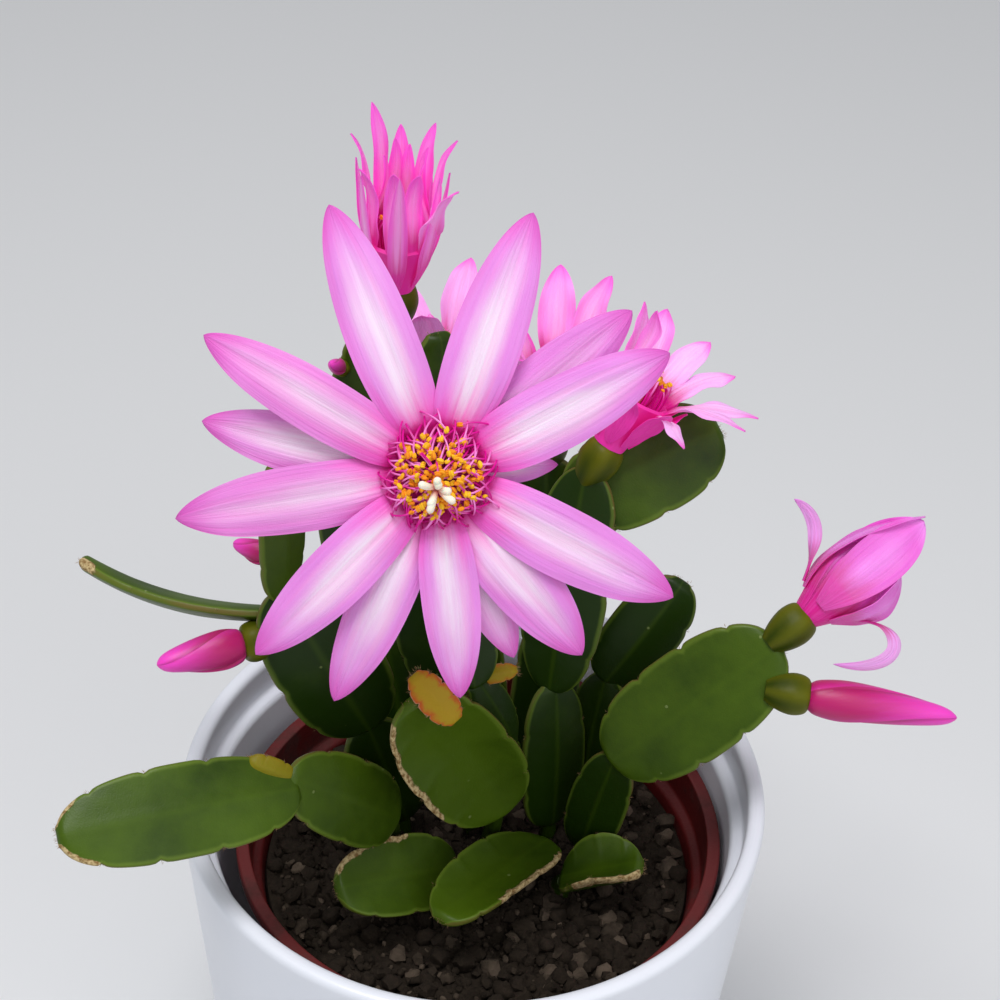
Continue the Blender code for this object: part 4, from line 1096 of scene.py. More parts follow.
def cork_shares(shape, t, s, half):
    """How corky a segment is, from 0 to 1, for t along it and s across it."""
    cork = np.zeros_like(half)
    for side, start, end, width in shape.cork:
        inward = (1 - side * s) * half
        lengthwise = soft_step(t, start - 0.03, start + 0.03) * (1 - soft_step(t, end - 0.02, end + 0.04))
        cork = np.maximum(cork, (1 - soft_step(inward, 0.2 * width, 1.3 * width)) * lengthwise)
    return cork


def add_segment(form, shape, seed, tone, thickness=PAD_THICKNESS):
    """One flat segment: thicker along its soft midrib, with thin rounded margins and blunt ends."""
    run, _, facing, _ = pad_frame(shape)
    inner = np.linspace(0, 1, PAD_ROWS)
    u = np.concatenate([[0.0, 0.002, 0.006], inner[1:-1], [0.994, 0.998, 1.0]])
    ends = np.minimum(pad_travel(u), 1 - pad_travel(u)) * np.linalg.norm(run) / PAD_END_ROUND
    roundness = np.sqrt(1 - (1 - np.clip(ends, 0.004, 1)) ** 2)[:, None]
    cosines, sines, _ = circle(PAD_SIDES)
    u_grid = np.repeat(u[:, None], PAD_SIDES, axis=1)
    s_grid = np.repeat(cosines[None, :], len(u), axis=0)
    middle = pad_surface(shape, u_grid, s_grid * (0.55 + 0.45 * roundness))
    t = pad_travel(u_grid)
    belly = 4 * t * (1 - t)
    half = pad_half(shape, u_grid)
    body = PAD_MARGIN_SHARE + (1 - PAD_MARGIN_SHARE) * (1 - np.abs(s_grid) ** 2.0)
    edge = np.minimum(1.0, np.abs(sines) / PAD_EDGE_ROUND) ** 0.5
    depth = thickness / 2 * body * edge * np.sign(sines) * roundness
    rib = PAD_RIB * np.exp(-((s_grid * half / PAD_RIB_WIDTH) ** 2)) * belly * np.sign(sines)
    flat = middle.reshape(-1, 3)
    swell = 0.16 * ripple(flat, 8.0, seed) + 0.04 * ripple(flat, 2.2, seed + 3)
    cork = cork_shares(shape, t, s_grid, half)
    rough = cork * CORK_RELIEF * ripple(flat, 0.8, seed + 5).reshape(cork.shape) * np.sign(sines)
    lift = depth + rib + swell.reshape(half.shape) * belly + rough
    form.add(middle + facing * lift[..., None], across=s_grid, along=t, cork=cork, tone=tone)


def add_root(form, root, first):
    """The round foot of a stem, from its hole in the soil into its first segment."""
    foot = np.array([*root, SOIL_TOP - ROOT_DEPTH])
    bend = np.array([*root, SOIL_TOP + 3.0])
    end = pad_point(first, 0.08, 0.0)
    if np.linalg.norm(end - bend) < 3.5:
        bend[2] -= 2
    radii = ROOT_RADIUS * np.linspace(1.0, 0.5, ROOT_ROWS)
    line = smooth_line([foot, bend, end], ROOT_ROWS)
    form.add(tube_rings(line, radii, ROOT_SIDES), cork=0.25, tone=-0.6)


def add_ovary(form, flower, finish):
    """The green ovary under a flower or a bud, swollen, with soft ribs."""
    foot, seat, radius = seat_of(flower)
    length = np.linalg.norm(seat - foot)
    outline = smooth_line([(radius * r, length * h) for r, h in OVARY_OUTLINE], OVARY_ROWS)
    _, _, turns = circle(OVARY_SIDES)
    ribs = np.cos(OVARY_RIBS * turns)
    frame = (foot, *axis_frame(seat - foot))
    rings = turned_rings(outline, OVARY_SIDES, *frame, 1 + 0.035 * ribs)
    form.add(rings, finish, along=np.linspace(0, 1, OVARY_ROWS)[:, None], rib=0.5 + 0.5 * ribs)


def flower_on(name):
    return {**BUDS, **BLOOMS, "bloom_half_open": HALF_OPEN}[name]


def areoles_of(shape, size):
    """(point, aim, size) of each areole: at the notches of both margins and at the tip."""
    along = pad_frame(shape)[1]
    found = []
    for side in (-1.0, 1.0):
        for lobe in range(1, shape.lobes):
            here = pad_point(shape, lobe / shape.lobes, side)
            inside = pad_point(shape, lobe / shape.lobes, side * 0.8)
            found.append((here, unit(unit(here - inside) + 0.8 * along), size))
    for s in TIP_AREOLES:
        found.append((pad_point(shape, 0.992, s), along, 1.1 * size))
    return found


# Flowers


def tube_radius(height):
    """Outer radius of a flower's tube at a height below its mouth."""
    return TUBE_FOOT_RADIUS + TUBE_FLARE * ((height + TUBE_LENGTH) / TUBE_LENGTH) ** 1.2


def petal_share(u):
    """Half width of a petal at u as a share of its widest."""
    rise = np.sin(math.pi / 2 * np.clip(u / PETAL_WIDEST_AT, 0, 1)) ** 0.95
    fall = np.clip((u - PETAL_WIDEST_AT) / (1 - PETAL_WIDEST_AT), 0, 1)
    ends = np.maximum(0.012, (1 - fall**2.3) ** 0.7)
    return np.where(u < PETAL_WIDEST_AT, PETAL_ROOT_SHARE + (1 - PETAL_ROOT_SHARE) * rise, ends)


def add_petal(form, petal, seat, grid, thickness, dice, tint=0.0, waves=1.0, twist=0.0, fade=1.0):
    """One petal: a thin arched blade with a soft fold, lengthwise furrows and a wavy margin."""
    mouth, axis, right, up = seat
    rows, columns = grid
    turn = math.radians(petal.turn)
    out = right * math.cos(turn) + up * math.sin(turn)
    side = np.cross(axis, out)
    u = 1 - (1 - np.linspace(0, 1, rows)) ** 1.35
    s = np.linspace(-1, 1, columns)
    s = np.sign(s) * (1 - (1 - np.abs(s)) ** 1.2)
    arc, slope = bezier(petal.knots, u)
    normal = axis * slope[:, :1] - out * slope[:, 1:]
    centre = mouth + out * arc[:, :1] + axis * arc[:, 1:]
    turning = math.radians(twist) * soft_step(u, 0.1, 0.5)[:, None]
    cosine, sine = np.cos(turning), np.sin(turning)
    side, normal = side * cosine + normal * sine, normal * cosine - side * sine
    phases = [dice.uniform(0, 2 * math.pi) for _ in range(4)]
    uu, ss = np.meshgrid(u, s, indexing="ij")
    half = petal.width / 2 * petal_share(u)[:, None]
    middle = soft_step(uu, 0.08, 0.35) * (1 - soft_step(uu, 0.8, 1.0))

    def wave(height, turns, phase):
        return height * petal.width * np.sin(2 * math.pi * turns * uu + phase)

    skew = wave(0.05, 0.8, phases[0]) * soft_step(uu, 0.2, 0.7)
    lift = -PETAL_BACK * half * ss**2 - 0.035 * petal.width * np.exp(-((ss / 0.22) ** 2)) * middle
    lift = lift + waves * (wave(0.03, 1.5, phases[1]) * ss + wave(0.022, 2.7, phases[2]) * ss**2) * middle
    furrows = 0.009 * petal.width * np.cos(2 * math.pi * 3.1 * ss + phases[3]) * (1 - ss**2) * middle
    body = thickness * (0.3 + 0.7 * (1 - ss**2)) * (1 - 0.45 * uu)
    base = centre[:, None] + side[:, None] * (ss * half + 0.25 * skew)[..., None]
    top = base + normal[:, None] * (lift + furrows + body / 2)[..., None]
    bottom = base + normal[:, None] * (lift + 0.6 * furrows - body / 2)[..., None]
    form.add(
        np.concatenate([top, bottom[:, ::-1]], axis=1),
        along=fade * np.concatenate([uu, uu], axis=1),
        across=np.concatenate([ss, ss[:, ::-1]], axis=1),
        outside=np.repeat([0.0, 1.0], columns),
        tint=tint,
        tone=dice.random(),
    )


def add_tube(form, seat):
    """The flower's tube, a thin cup that flares from the ovary to the mouth."""
    heights = np.linspace(-TUBE_LENGTH, 0, 10)
    outer = [(tube_radius(z), z) for z in heights]
    inner = [(tube_radius(z) - TUBE_WALL, z) for z in heights[::-1] if z > TUBE_FLOOR]
    lip = [(tube_radius(0) - TUBE_WALL / 2, 0.35)]
    profile = [(POLE, -TUBE_LENGTH)] + outer + lip + inner + [(POLE, TUBE_FLOOR)]
    _, _, turns = circle(TUBE_SIDES)
    rings = turned_rings(profile, TUBE_SIDES, *seat, 1 + 0.02 * np.cos(8 * turns))
    low = np.array([0.1 * (height + TUBE_LENGTH) / TUBE_LENGTH for _, height in profile])
    form.add(rings, along=low[:, None], across=0.9, tone=0.5, outside=0.6)


def furled_rings(profile, sides, twist, depth, origin, axis, right, up):
    """Rings of a furled bud: each layer's edge stands a little proud of the next one under it."""
    _, _, turns = circle(sides)
    fold = (FURLED_LAYERS * turns / (2 * math.pi) + 1e-6) % 1.0
    shares = np.array([height for _, height in profile])
    shares = (shares - shares.min()) / (shares.max() - shares.min())
    rings = []
    for (radius, height), share in zip(profile, shares):
        swirled = turns - twist * share * 2 * math.pi / FURLED_LAYERS
        reach = radius * (1 + depth * (fold - 0.6) * math.sin(math.pi * min(1.0, 0.15 + share)))
        around = right * np.cos(swirled)[:, None] + up * np.sin(swirled)[:, None]
        rings.append(origin + axis * height + reach[:, None] * around)
    return np.array(rings), fold, shares[:, None]


def furled_profile(knots):
    """A furled flower's outline through (radius, height) knots."""
    return [(max(radius, POLE), height) for radius, height in smooth_line(knots, FURLED_ROWS)]


# Settings that a user can change


def colour_setting(name, description, *values):
    colour = srgb(*values)
    return FloatVectorProperty(name=name, description=description, subtype="COLOR", default=colour)


def length_setting(name, description, length):
    return FloatProperty(name=name, description=description, default=length * MM, unit="LENGTH", min=0.0)


def power_setting(name, description, power):
    return FloatProperty(name=name, description=description, default=power, unit="POWER", min=0.0)


def share_setting(name, description, share):
    return FloatProperty(name=name, description=description, default=share, min=0.0, max=1.0)


def count_setting(name, description, count, least, most):
    return IntProperty(name=name, description=description, default=count, min=least, max=most)


class PotSettings(bpy.types.PropertyGroup):
    """Finishes of the two pots."""

    glaze_colour: colour_setting("Glaze", "Glaze of the cachepot", 241, 244, 252)
    glaze_shade: colour_setting("Glaze shade", "Clouds in the glaze", 220, 226, 240)
    plastic_colour: colour_setting("Plastic", "Plastic of the nursery pot", 112, 28, 28)
    plastic_shade: colour_setting("Plastic shade", "Worn places of the plastic", 80, 20, 20)
    dust_colour: colour_setting("Dust", "Soil dust on the plastic", 58, 44, 38)
    turns: count_setting("Steps", "Steps round each pot", 144, 24, 256)


class SoilSettings(bpy.types.PropertyGroup):
    """The soil and its crumbs."""

    soil_colour: colour_setting("Soil", "Dry peat on top", 64, 54, 43)
    soil_dark: colour_setting("Damp soil", "Damp peat in the hollows", 20, 15, 13)
    grain_colour: colour_setting("Grains", "Grey-brown grains", 112, 98, 84)
    crumbs: count_setting("Crumbs", "Number of small crumbs", 2400, 0, 6000)
    grains: count_setting("Grains", "Number of larger grains", 620, 0, 1500)
    relief: length_setting("Relief", "Height of the lumps", 1.4)


class StemSettings(bpy.types.PropertyGroup):
    """Skin of the stems and of the young segments."""

    skin_deep: colour_setting("Deep green", "Shaded skin", 28, 50, 4)
    skin_light: colour_setting("Light green", "Lighter patches of skin", 74, 100, 14)
    # The rim colour is partly thin flesh and partly a painted edge highlight
    skin_rim_highlight: colour_setting("Rim", "Thin flesh beside a margin", 112, 136, 46)
    skin_margin: colour_setting("Margin", "Thin margin of a segment", 112, 92, 50)
    skin_dots: colour_setting("Dots", "Pale dots of the skin", 140, 156, 96)
    cork_colour: colour_setting("Cork", "Corky margins", 206, 184, 136)
    cork_shade: colour_setting("Cork shade", "Cracks in the cork", 134, 104, 62)
    ovary_colour: colour_setting("Ovary", "Ovaries under the flowers", 88, 92, 8)
    ovary_dark: colour_setting("Ovary foot", "Foot of the ovaries", 48, 62, 4)
    ovary_rib: colour_setting("Ovary rib", "Ribs of the ovaries", 108, 108, 20)
    young_colour: colour_setting("Young", "Young segments", 184, 150, 26)
    young_green: colour_setting("Young green", "Older young segments", 122, 116, 2)
    young_blush: colour_setting("Young blush", "Outer part of young segments", 196, 82, 28)
    young_edge: colour_setting("Young margin", "Dry margins of young segments", 206, 168, 140)
    wool_colour: colour_setting("Wool", "Wool of the areoles", 190, 160, 120)
    wool_shade: colour_setting("Wool shade", "Darker wool of the areoles", 120, 86, 58)
    bristle: length_setting("Bristle", "Length of the areoles' bristles", 0.7)


class PetalSettings(bpy.types.PropertyGroup):
    """Petals and buds."""

    petal_edge: colour_setting("Lilac", "Margins of the large bloom's petals", 234, 138, 232)
    petal_middle: colour_setting("Pale stripe", "Middle of the petals", 255, 238, 255)
    petal_throat: colour_setting("Throat", "Petals at the throat", 250, 64, 192)
    petal_tip: colour_setting("Tip", "Tips of the petals", 226, 84, 196)
    petal_paler: colour_setting("Pink", "Margins of the large bloom's paler petals", 242, 150, 230)
    back_edge: colour_setting("Hot pink", "Petals of the blooms behind", 255, 92, 218)
    back_middle: colour_setting("Light pink", "Middle of those petals", 255, 196, 244)
    back_throat: colour_setting("Deep magenta", "Tubes of those blooms", 206, 14, 120)
    back_tip: colour_setting("Hot pink tip", "Tips of those petals", 255, 92, 218)
    back_paler: colour_setting("Pale lilac", "Paler petals behind", 238, 180, 240)
    half_open_edge: colour_setting("Half-open pink", "Half-open flower", 232, 84, 204)
    # The paler middle of the half-open petals is partly their colour and partly a painted sheen
    half_open_middle: colour_setting("Half-open sheen", "Paler middle of its petals", 255, 172, 255)
    half_open_throat: colour_setting("Half-open foot", "Foot of that flower", 206, 24, 112)
    half_open_tip: colour_setting("Half-open tip", "Tips of its petals", 255, 150, 250)
    half_open_paler: colour_setting("Half-open lilac", "Petals that have curled back", 238, 180, 240)
    gullet: colour_setting("Gullet", "Tube inside the petals", 222, 0, 146)
    bud_colour: colour_setting("Bud", "Foot of the buds", 188, 5, 104)
    bud_tip: colour_setting("Bud tip", "Tips of the buds", 248, 66, 204)
    # Painted shade for the folds of the buds
    bud_painted_shade: colour_setting("Bud shade", "Folds of the buds", 150, 4, 78)
    thickness: length_setting("Thickness", "Thickness of a petal", 0.5)
    glow: share_setting("Glow", "Share of light that goes through the petals' flesh", 0.18)
    # Painted glow: emission of the pink petals, for daylight that passes through them
    painted_glow: share_setting("Shine", "Daylight that thin pink petals pass on", 0.17)


class StamenSettings(bpy.types.PropertyGroup):
    """Stamens and stigmas."""

    filament_colour: colour_setting("Filament", "Foot of the filaments", 220, 2, 150)
    filament_tip: colour_setting("Filament tip", "End of the filaments", 250, 146, 224)
    anther_colour: colour_setting("Anther", "Fresh pollen sacs", 246, 146, 8)
    anther_pale: colour_setting("Pollen", "Open pollen sacs", 255, 202, 30)
    stigma_colour: colour_setting("Stigma", "Lobes of the stigma", 253, 243, 222)
    style_colour: colour_setting("Style", "Style under the stigma", 240, 148, 144)
    filament_radius: length_setting("Filament radius", "Radius of a filament", 0.13)
    anther_length: length_setting("Anther length", "Length of an anther", 1.22)


class StageSettings(bpy.types.PropertyGroup):
    """The floor and the light."""

    floor_colour: colour_setting("Floor", "Pale floor", 232, 233, 235)
    air_colour: FloatVectorProperty(
        name="Air", description="Light from all round", subtype="COLOR", default=(0.97, 0.98, 1.0)
    )
    air: share_setting("Air strength", "Strength of that light", 0.42)
    key: power_setting("Key", "Power of the window light", 3.0)
    fill: power_setting("Fill", "Power of the fill light", 1.35)


SETTINGS = {
    "cactus_pots": PotSettings,
    "cactus_soil": SoilSettings,
    "cactus_stems": StemSettings,
    "cactus_petals": PetalSettings,
    "cactus_stamens": StamenSettings,
    "cactus_stage": StageSettings,
}


# Stamens, soil and bristles


def cubic(t, first, second, third, last):
    """A cubic curve's value at t, for wires."""
    left = 1.0 - t
    return left**3.0 * first + left * left * t * 3.0 * second + left * t * t * 3.0 * third + t**3.0 * last


def polar(growth, turn, reach, height):
    return growth.vector(growth.math("COSINE", turn) * reach, growth.math("SINE", turn) * reach, height)


def stamen_mesh(name, bunch, settings, threads, sacs):
    """Filaments that arch out of the throat and turn back in, each with an anther at its end."""
    growth = Growth(
        "Stamens",
        Count=bunch.count,
        Reach=bunch.reach * MM,
        Height=bunch.height * MM,
        Filament=settings.filament_radius,
        Anther=settings.anther_length,
        Seed=bunch.seed,
        Threads=threads,
        Sacs=sacs,
    )
    reach, height, length = growth.input("Reach"), growth.input("Height"), growth.input("Anther")
    share = (growth.number + 0.5) / growth.input("Count")
    stray = growth.math("GREATER_THAN", growth.random(0.0, 1.0, 0), 1.0 - STRAY_SHARE)
    dome = height - share * reach * 0.3 - stray * height * 0.1
    values = {
        "turn": growth.number * GOLDEN_ANGLE + growth.random(-0.3, 0.3, 1),
        "sway": growth.random(-0.5, 0.5, 2),
        "end": reach * (share**0.5 * 0.86 + stray * 0.22 + growth.random(-0.06, 0.06, 3)),
        "belly": reach * (share**0.5 * 0.72 + growth.random(0.3, 0.56, 4) + stray * 0.3),
        "top": dome + growth.random(-0.8 * MM, 0.8 * MM, 5),
        "tone": growth.random(0.0, 1.0, 6),
    }
    points = growth.geo("Points", Count=growth.input("Count"))
    for value_name, value in values.items():
        points = growth.store(points, value_name, value)
    turn, sway, end, belly, top = map(growth.named, ("turn", "sway", "end", "belly", "top"))

    line = growth.geo("ResampleCurve", Curve=growth.geo("CurvePrimitiveLine"), Count=13)
    filaments = growth.geo("RealizeInstances", growth.geo("InstanceOnPoints", Points=points, Instance=line))
    t = growth.geo("SplineParameter")["Factor"]
    place = polar(
        growth,
        turn + sway * growth.math("SINE", t * math.pi),
        cubic(t, 2.6 * MM, belly * 1.2, belly * 1.12, end),
        cubic(t, -4.8 * MM, -0.6 * MM, top * 0.9, top),
    )
    filaments = growth.store(growth.geo("SetPosition", filaments, Position=place), "along", t)
    ring = growth.geo("CurvePrimitiveCircle", Resolution=5, Radius=growth.input("Filament"))
    filaments = growth.geo("CurveToMesh", Curve=filaments, Profile_Curve=ring, Fill_Caps=True)
    filaments = growth.geo("SetMaterial", filaments, Material=growth.input("Threads"))

    sac = growth.geo("MeshUVSphere", Segments=6, Rings=5, Radius=length)
    lobes = []
    for side in (-1, 1):
        shift = growth.vector(length * (0.13 * side), 0.0, 0.0)
        lobes.append(growth.geo("Transform", sac, Translation=shift, Scale=(0.2, 0.24, 0.42)))
    ends = growth.geo("SetPosition", points, Position=polar(growth, turn, end, top))
    tilt = growth.random((-1.6, 0.5, 0.0), (-0.6, 1.3, 6.28), 7)
    size = growth.random(0.8, 1.12, 8)
    sockets = {"Instance": growth.join(lobes), "Rotation": tilt, "Scale": growth.vector(size, size, size)}
    anthers = growth.geo("InstanceOnPoints", Points=ends, **sockets)
    anthers = growth.geo("SetMaterial", anthers, Material=growth.input("Sacs"))
    return growth.grown(name, [filaments, anthers])


def soil_height(x, y):
    """Height of the soil's lumpy top, a little higher where the stems stand."""
    mound = SOIL_MOUND * math.exp(-(x * x + y * y) / 500)
    lumps = noise.noise((x * 0.15, y * 0.15, 3.1))
    grain = noise.noise((x * 0.7, y * 0.7, 8.4))
    return SOIL_TOP + mound + SOIL_RELIEF * (lumps + 0.5 * grain)


def soil_circle(radius, steps):
    """Places (x, y) round the middle of the soil."""
    cosines, sines, _ = circle(steps)
    return list(zip(NURSERY_CENTRE[0] + radius * cosines, NURSERY_CENTRE[1] + radius * sines))


def soil_skin(relief):
    """Rings over the top of the soil from its middle out, down its side and under it."""
    rings = []
    for radius in np.linspace(0.3, SOIL_RADIUS - 0.3, SOIL_RINGS):
        fade = 1 - soft_step(radius, SOIL_RADIUS - 2.0, SOIL_RADIUS)
        row = []
        for x, y in soil_circle(radius, SOIL_STEPS):
            clod = noise.fractal((x * 0.42, y * 0.42, 1.7), 0.7, 2.2, 5)
            height = soil_height(x, y) + relief / MM * clod
            row.append((x, y, SOIL_TOP + fade * (height - SOIL_TOP)))
        rings.append(row)
    below = ((SOIL_RADIUS, SOIL_TOP - 1.2), (SOIL_FOOT_RADIUS, SOIL_FLOOR), (0.3, SOIL_FLOOR))
    for radius, height in below:
        rings.append([(x, y, height) for x, y in soil_circle(radius, SOIL_STEPS)])
    return rings


def crumb_ground():
    """The surface that the crumbs are strewn over, just under the top of the soil."""
    places, faces = [], []
    for radius in np.linspace(1.0, SOIL_RADIUS - 1.6, GROUND_RINGS):
        for x, y in soil_circle(radius, GROUND_STEPS):
            places.append((x * MM, y * MM, (soil_height(x, y) - 0.2) * MM))
    for ring in range(GROUND_RINGS - 1):
        for step in range(GROUND_STEPS):
            a, b = ring * GROUND_STEPS + step, ring * GROUND_STEPS + (step + 1) % GROUND_STEPS
            faces.append((a, b, b + GROUND_STEPS, a + GROUND_STEPS))
    ground = bpy.data.meshes.new("ground")
    ground.from_pydata(places, [], faces)
    return ground


def crumb_mesh(name, ground, count, low, high, lift, seed, finish):
    """Lumps strewn over the ground mesh, each turned and squashed in its own way."""
    area = sum(polygon.area for polygon in ground.polygons)
    growth = Growth(
        name,
        Density=count / area,
        Smallest=low * MM,
        Largest=high * MM,
        Lift=lift * MM,
        Seed=seed,
        Earth=finish,
    )
    sockets = {0: growth.input("Geometry"), "Density": growth.input("Density"), "Seed": growth.input("Seed")}
    points = growth.node("GeometryNodeDistributePointsOnFaces", {"use_legacy_normal": False}, sockets)
    points = growth.store(points, "tone", growth.random(0.0, 1.0, 1))
    size = growth.random(growth.input("Smallest"), growth.input("Largest"), 2)
    rise = growth.vector(0.0, 0.0, growth.input("Lift") + size * 0.2)
    points = growth.geo("SetPosition", points, Offset=rise)
    lump = growth.geo("MeshUVSphere", Segments=7, Rings=5, Radius=0.5)
    scale = growth.scaled(growth.random((0.7, 0.7, 0.5), (1.2, 1.2, 0.9), 3), size)
    tilt = growth.random((-0.6, -0.6, 0.0), (0.6, 0.6, 6.28), 4)
    lumps = growth.geo("InstanceOnPoints", Points=points, Instance=lump, Rotation=tilt, Scale=scale)
    lumps = growth.geo("RealizeInstances", lumps)
    sockets = {"Vector": growth.geo("InputPosition"), "Scale": 900.0, "Detail": 2.0}
    rough = growth.node("ShaderNodeTexNoise", None, sockets)["Color"]
    rough = growth.vector_math("SUBTRACT", rough, (0.5, 0.5, 0.5))
    push = growth.scaled(rough, growth.input("Largest") * 0.55)
    lumps = growth.geo("SetPosition", lumps, Offset=push)
    lumps = growth.geo("SetMaterial", lumps, Material=growth.input("Earth"))
    return growth.grown(name, [lumps], ground)


def bristle_mesh(name, seats, length, finish):
    """A tuft of bristles on each areole, spread about the way it looks."""
    growth = Growth("Bristles", Each=BRISTLES, Length=length, Seed=BRISTLE_SEED, Wool=finish)
    source = bpy.data.meshes.new(name + "_seats")
    source.from_pydata([tuple(place * MM) for place, _, _ in seats], [], [])
    aims = source.attributes.new("aim", "FLOAT_VECTOR", "POINT")
    aims.data.foreach_set("vector", np.array([aim for _, aim, _ in seats], np.float32).ravel())
    sizes = source.attributes.new("size", "FLOAT", "POINT")
    sizes.data.foreach_set("value", np.array([size for _, _, size in seats], np.float32))
    points = growth.geo("MeshToPoints", growth.input("Geometry"))
    sockets = {0: points, "Amount": growth.input("Each")}
    points = growth.node("GeometryNodeDuplicateElements", {"domain": "POINT"}, sockets)
    spread = growth.random((-BRISTLE_SPREAD,) * 3, (BRISTLE_SPREAD,) * 3, 0)
    look = growth.vector_math("ADD", growth.named("aim", "FLOAT_VECTOR"), spread)
    points = growth.geo("SetPosition", points, Offset=growth.scaled(spread, BRISTLE_SHIFT * MM))
    turn = growth.node("FunctionNodeAlignRotationToVector", {"axis": "Z"}, {"Vector": look})
    long = growth.random(0.5, 1.0, 1) * growth.input("Length") * growth.named("size")
    hair = growth.geo("MeshCone", Vertices=4, Radius_Top=0.0, Radius_Bottom=0.075, Depth=1.0)
    scale = growth.vector(long, long, long)
    hairs = growth.geo("InstanceOnPoints", Points=points, Instance=hair, Rotation=turn, Scale=scale)
    hairs = growth.geo("SetMaterial", hairs, Material=growth.input("Wool"))
    return growth.grown(name, [hairs], source)


# Operators


class CACTUS_OT_cachepot(bpy.types.Operator):
    """Make the glazed cachepot"""

    bl_idname = "cactus.cachepot"
    bl_label = "Cachepot"

    def execute(self, context):
        settings = context.scene.cactus_pots
        ledge = POT_HEIGHT - POT_LEDGE_DEPTH
        lip_inner = POT_RIM_RADIUS - POT_LIP_WALL
        inner_foot = POT_FOOT_RADIUS + (POT_RIM_RADIUS - POT_FOOT_RADIUS) * POT_FLOOR / POT_HEIGHT - POT_WALL
        corners = [
            (POLE, POT_FLOOR, 0),
            (inner_foot, POT_FLOOR, 4.0),
            (POT_LEDGE_RADIUS, ledge - 0.2, 0.8),
            (POT_LEDGE_RADIUS + 0.9, ledge + 0.3, 0.5),
            (lip_inner, ledge + 0.5, 0.6),
            (lip_inner, POT_HEIGHT, 1.45),
            (POT_RIM_RADIUS, POT_HEIGHT, 1.5),
            (POT_FOOT_RADIUS, 0.0, 1.6),
            (POLE, 0.0, 0),
        ]
        form = turned_pot(corners, (0.0, 0.0), settings.turns)
        form.dress("cachepot_glazed", [glaze_finish(settings)], "glaze", "cachepot")
        return {"FINISHED"}


class CACTUS_OT_nursery_pot(bpy.types.Operator):
    """Make the thin plastic pot inside it"""

    bl_idname = "cactus.nursery_pot"
    bl_label = "Nursery pot"

    def execute(self, context):
        settings = context.scene.cactus_pots
        band = NURSERY_TOP - NURSERY_BAND
        shoulder = NURSERY_SHOULDER_RADIUS - 1.0
        rim_inner = NURSERY_RIM_RADIUS - 2 * NURSERY_WALL
        corners = [
            (POLE, NURSERY_FOOT + NURSERY_FLOOR, 0),
            (NURSERY_FOOT_RADIUS - NURSERY_WALL - 0.2, NURSERY_FOOT + NURSERY_FLOOR, 1.0),
            (shoulder - NURSERY_WALL, band, 0.6),
            (rim_inner - 0.3, band + 1, 0.5),
            (rim_inner, NURSERY_TOP, 0.35),
            (NURSERY_RIM_RADIUS, NURSERY_TOP, 0.5),
            (NURSERY_RIM_RADIUS, NURSERY_TOP - 2.2, 0.3),
            (NURSERY_RIM_RADIUS - NURSERY_WALL, NURSERY_TOP - 2.4, 0.3),
            (NURSERY_SHOULDER_RADIUS, band, 0.4),
            (shoulder, band - 1.0, 0.4),
            (NURSERY_FOOT_RADIUS, NURSERY_FOOT, 1.2),
            (POLE, NURSERY_FOOT, 0),
        ]
        form = turned_pot(corners, NURSERY_CENTRE, settings.turns)
        form.dress("nursery_pot_plastic", [plastic_finish(settings)], "terracotta_plastic", "nursery_pot")
        return {"FINISHED"}


class CACTUS_OT_soil(bpy.types.Operator):
    """Make the soil and strew its crumbs and grains"""

    bl_idname = "cactus.soil"
    bl_label = "Soil"

    def execute(self, context):
        settings = context.scene.cactus_soil
        form = Form()
        form.add(soil_skin(settings.relief), tone=0.3)
        form.dress("soil_bed", [soil_finish(settings)], "soil", "soil")
        ground, finish = crumb_ground(), soil_finish(settings, "soil_grains")
        small = crumb_mesh("Crumbs", ground, settings.crumbs, *CRUMB_LAY, finish)
        large = crumb_mesh("Grains", ground, settings.grains, *GRAIN_LAY, finish)
        dress(shaped("soil_crumbs", small, []), "soil")
        dress(shaped("soil_grains", large, []), "soil")
        return {"FINISHED"}


class CACTUS_OT_stems(bpy.types.Operator):
    """Make every stem with its segments, cork and ovaries"""

    bl_idname = "cactus.stems"
    bl_label = "Stems"

    def execute(self, context):
        settings = context.scene.cactus_stems
        finishes = [skin_finish(settings), ovary_finish(settings)]
        dice = random.Random(STEM_SEED)
        for order, (name, stem) in enumerate(STEMS.items()):
            form = Form()
            add_root(form, stem.root, stem.pads[0])
            for index, shape in enumerate(stem.pads):
                x, y, z = (shape.base + shape.tip) / 2
                # Segments in the middle of the plant get painted shade: a lower tone darkens their skin
                inner = abs(x) < INNER_REACH and y > INNER_FRONT and z < INNER_TOP
                tone = dice.uniform(-TONE_SPREAD, TONE_SPREAD) - (INNER_PAINTED_SHADE if inner else 0.0)
                add_segment(form, shape, 10 * order + index, tone)
            for flower in stem.ovaries:
                add_ovary(form, flower_on(flower), 1)
            form.dress(name + "_skin", finishes, "stem", name)
        return {"FINISHED"}


class CACTUS_OT_young_pads(bpy.types.Operator):
    """Make the young yellow segments"""

    bl_idname = "cactus.young_pads"
    bl_label = "Young segments"

    def execute(self, context):
        finish = young_finish(context.scene.cactus_stems)
        for order, (name, shape) in enumerate(YOUNG_PADS.items()):
            form = Form()
            add_segment(form, shape, YOUNG_SEED + order, YOUNG_TONES[name], YOUNG_THICKNESS)
            form.dress(name + "_skin", [finish], "young", name)
        return {"FINISHED"}


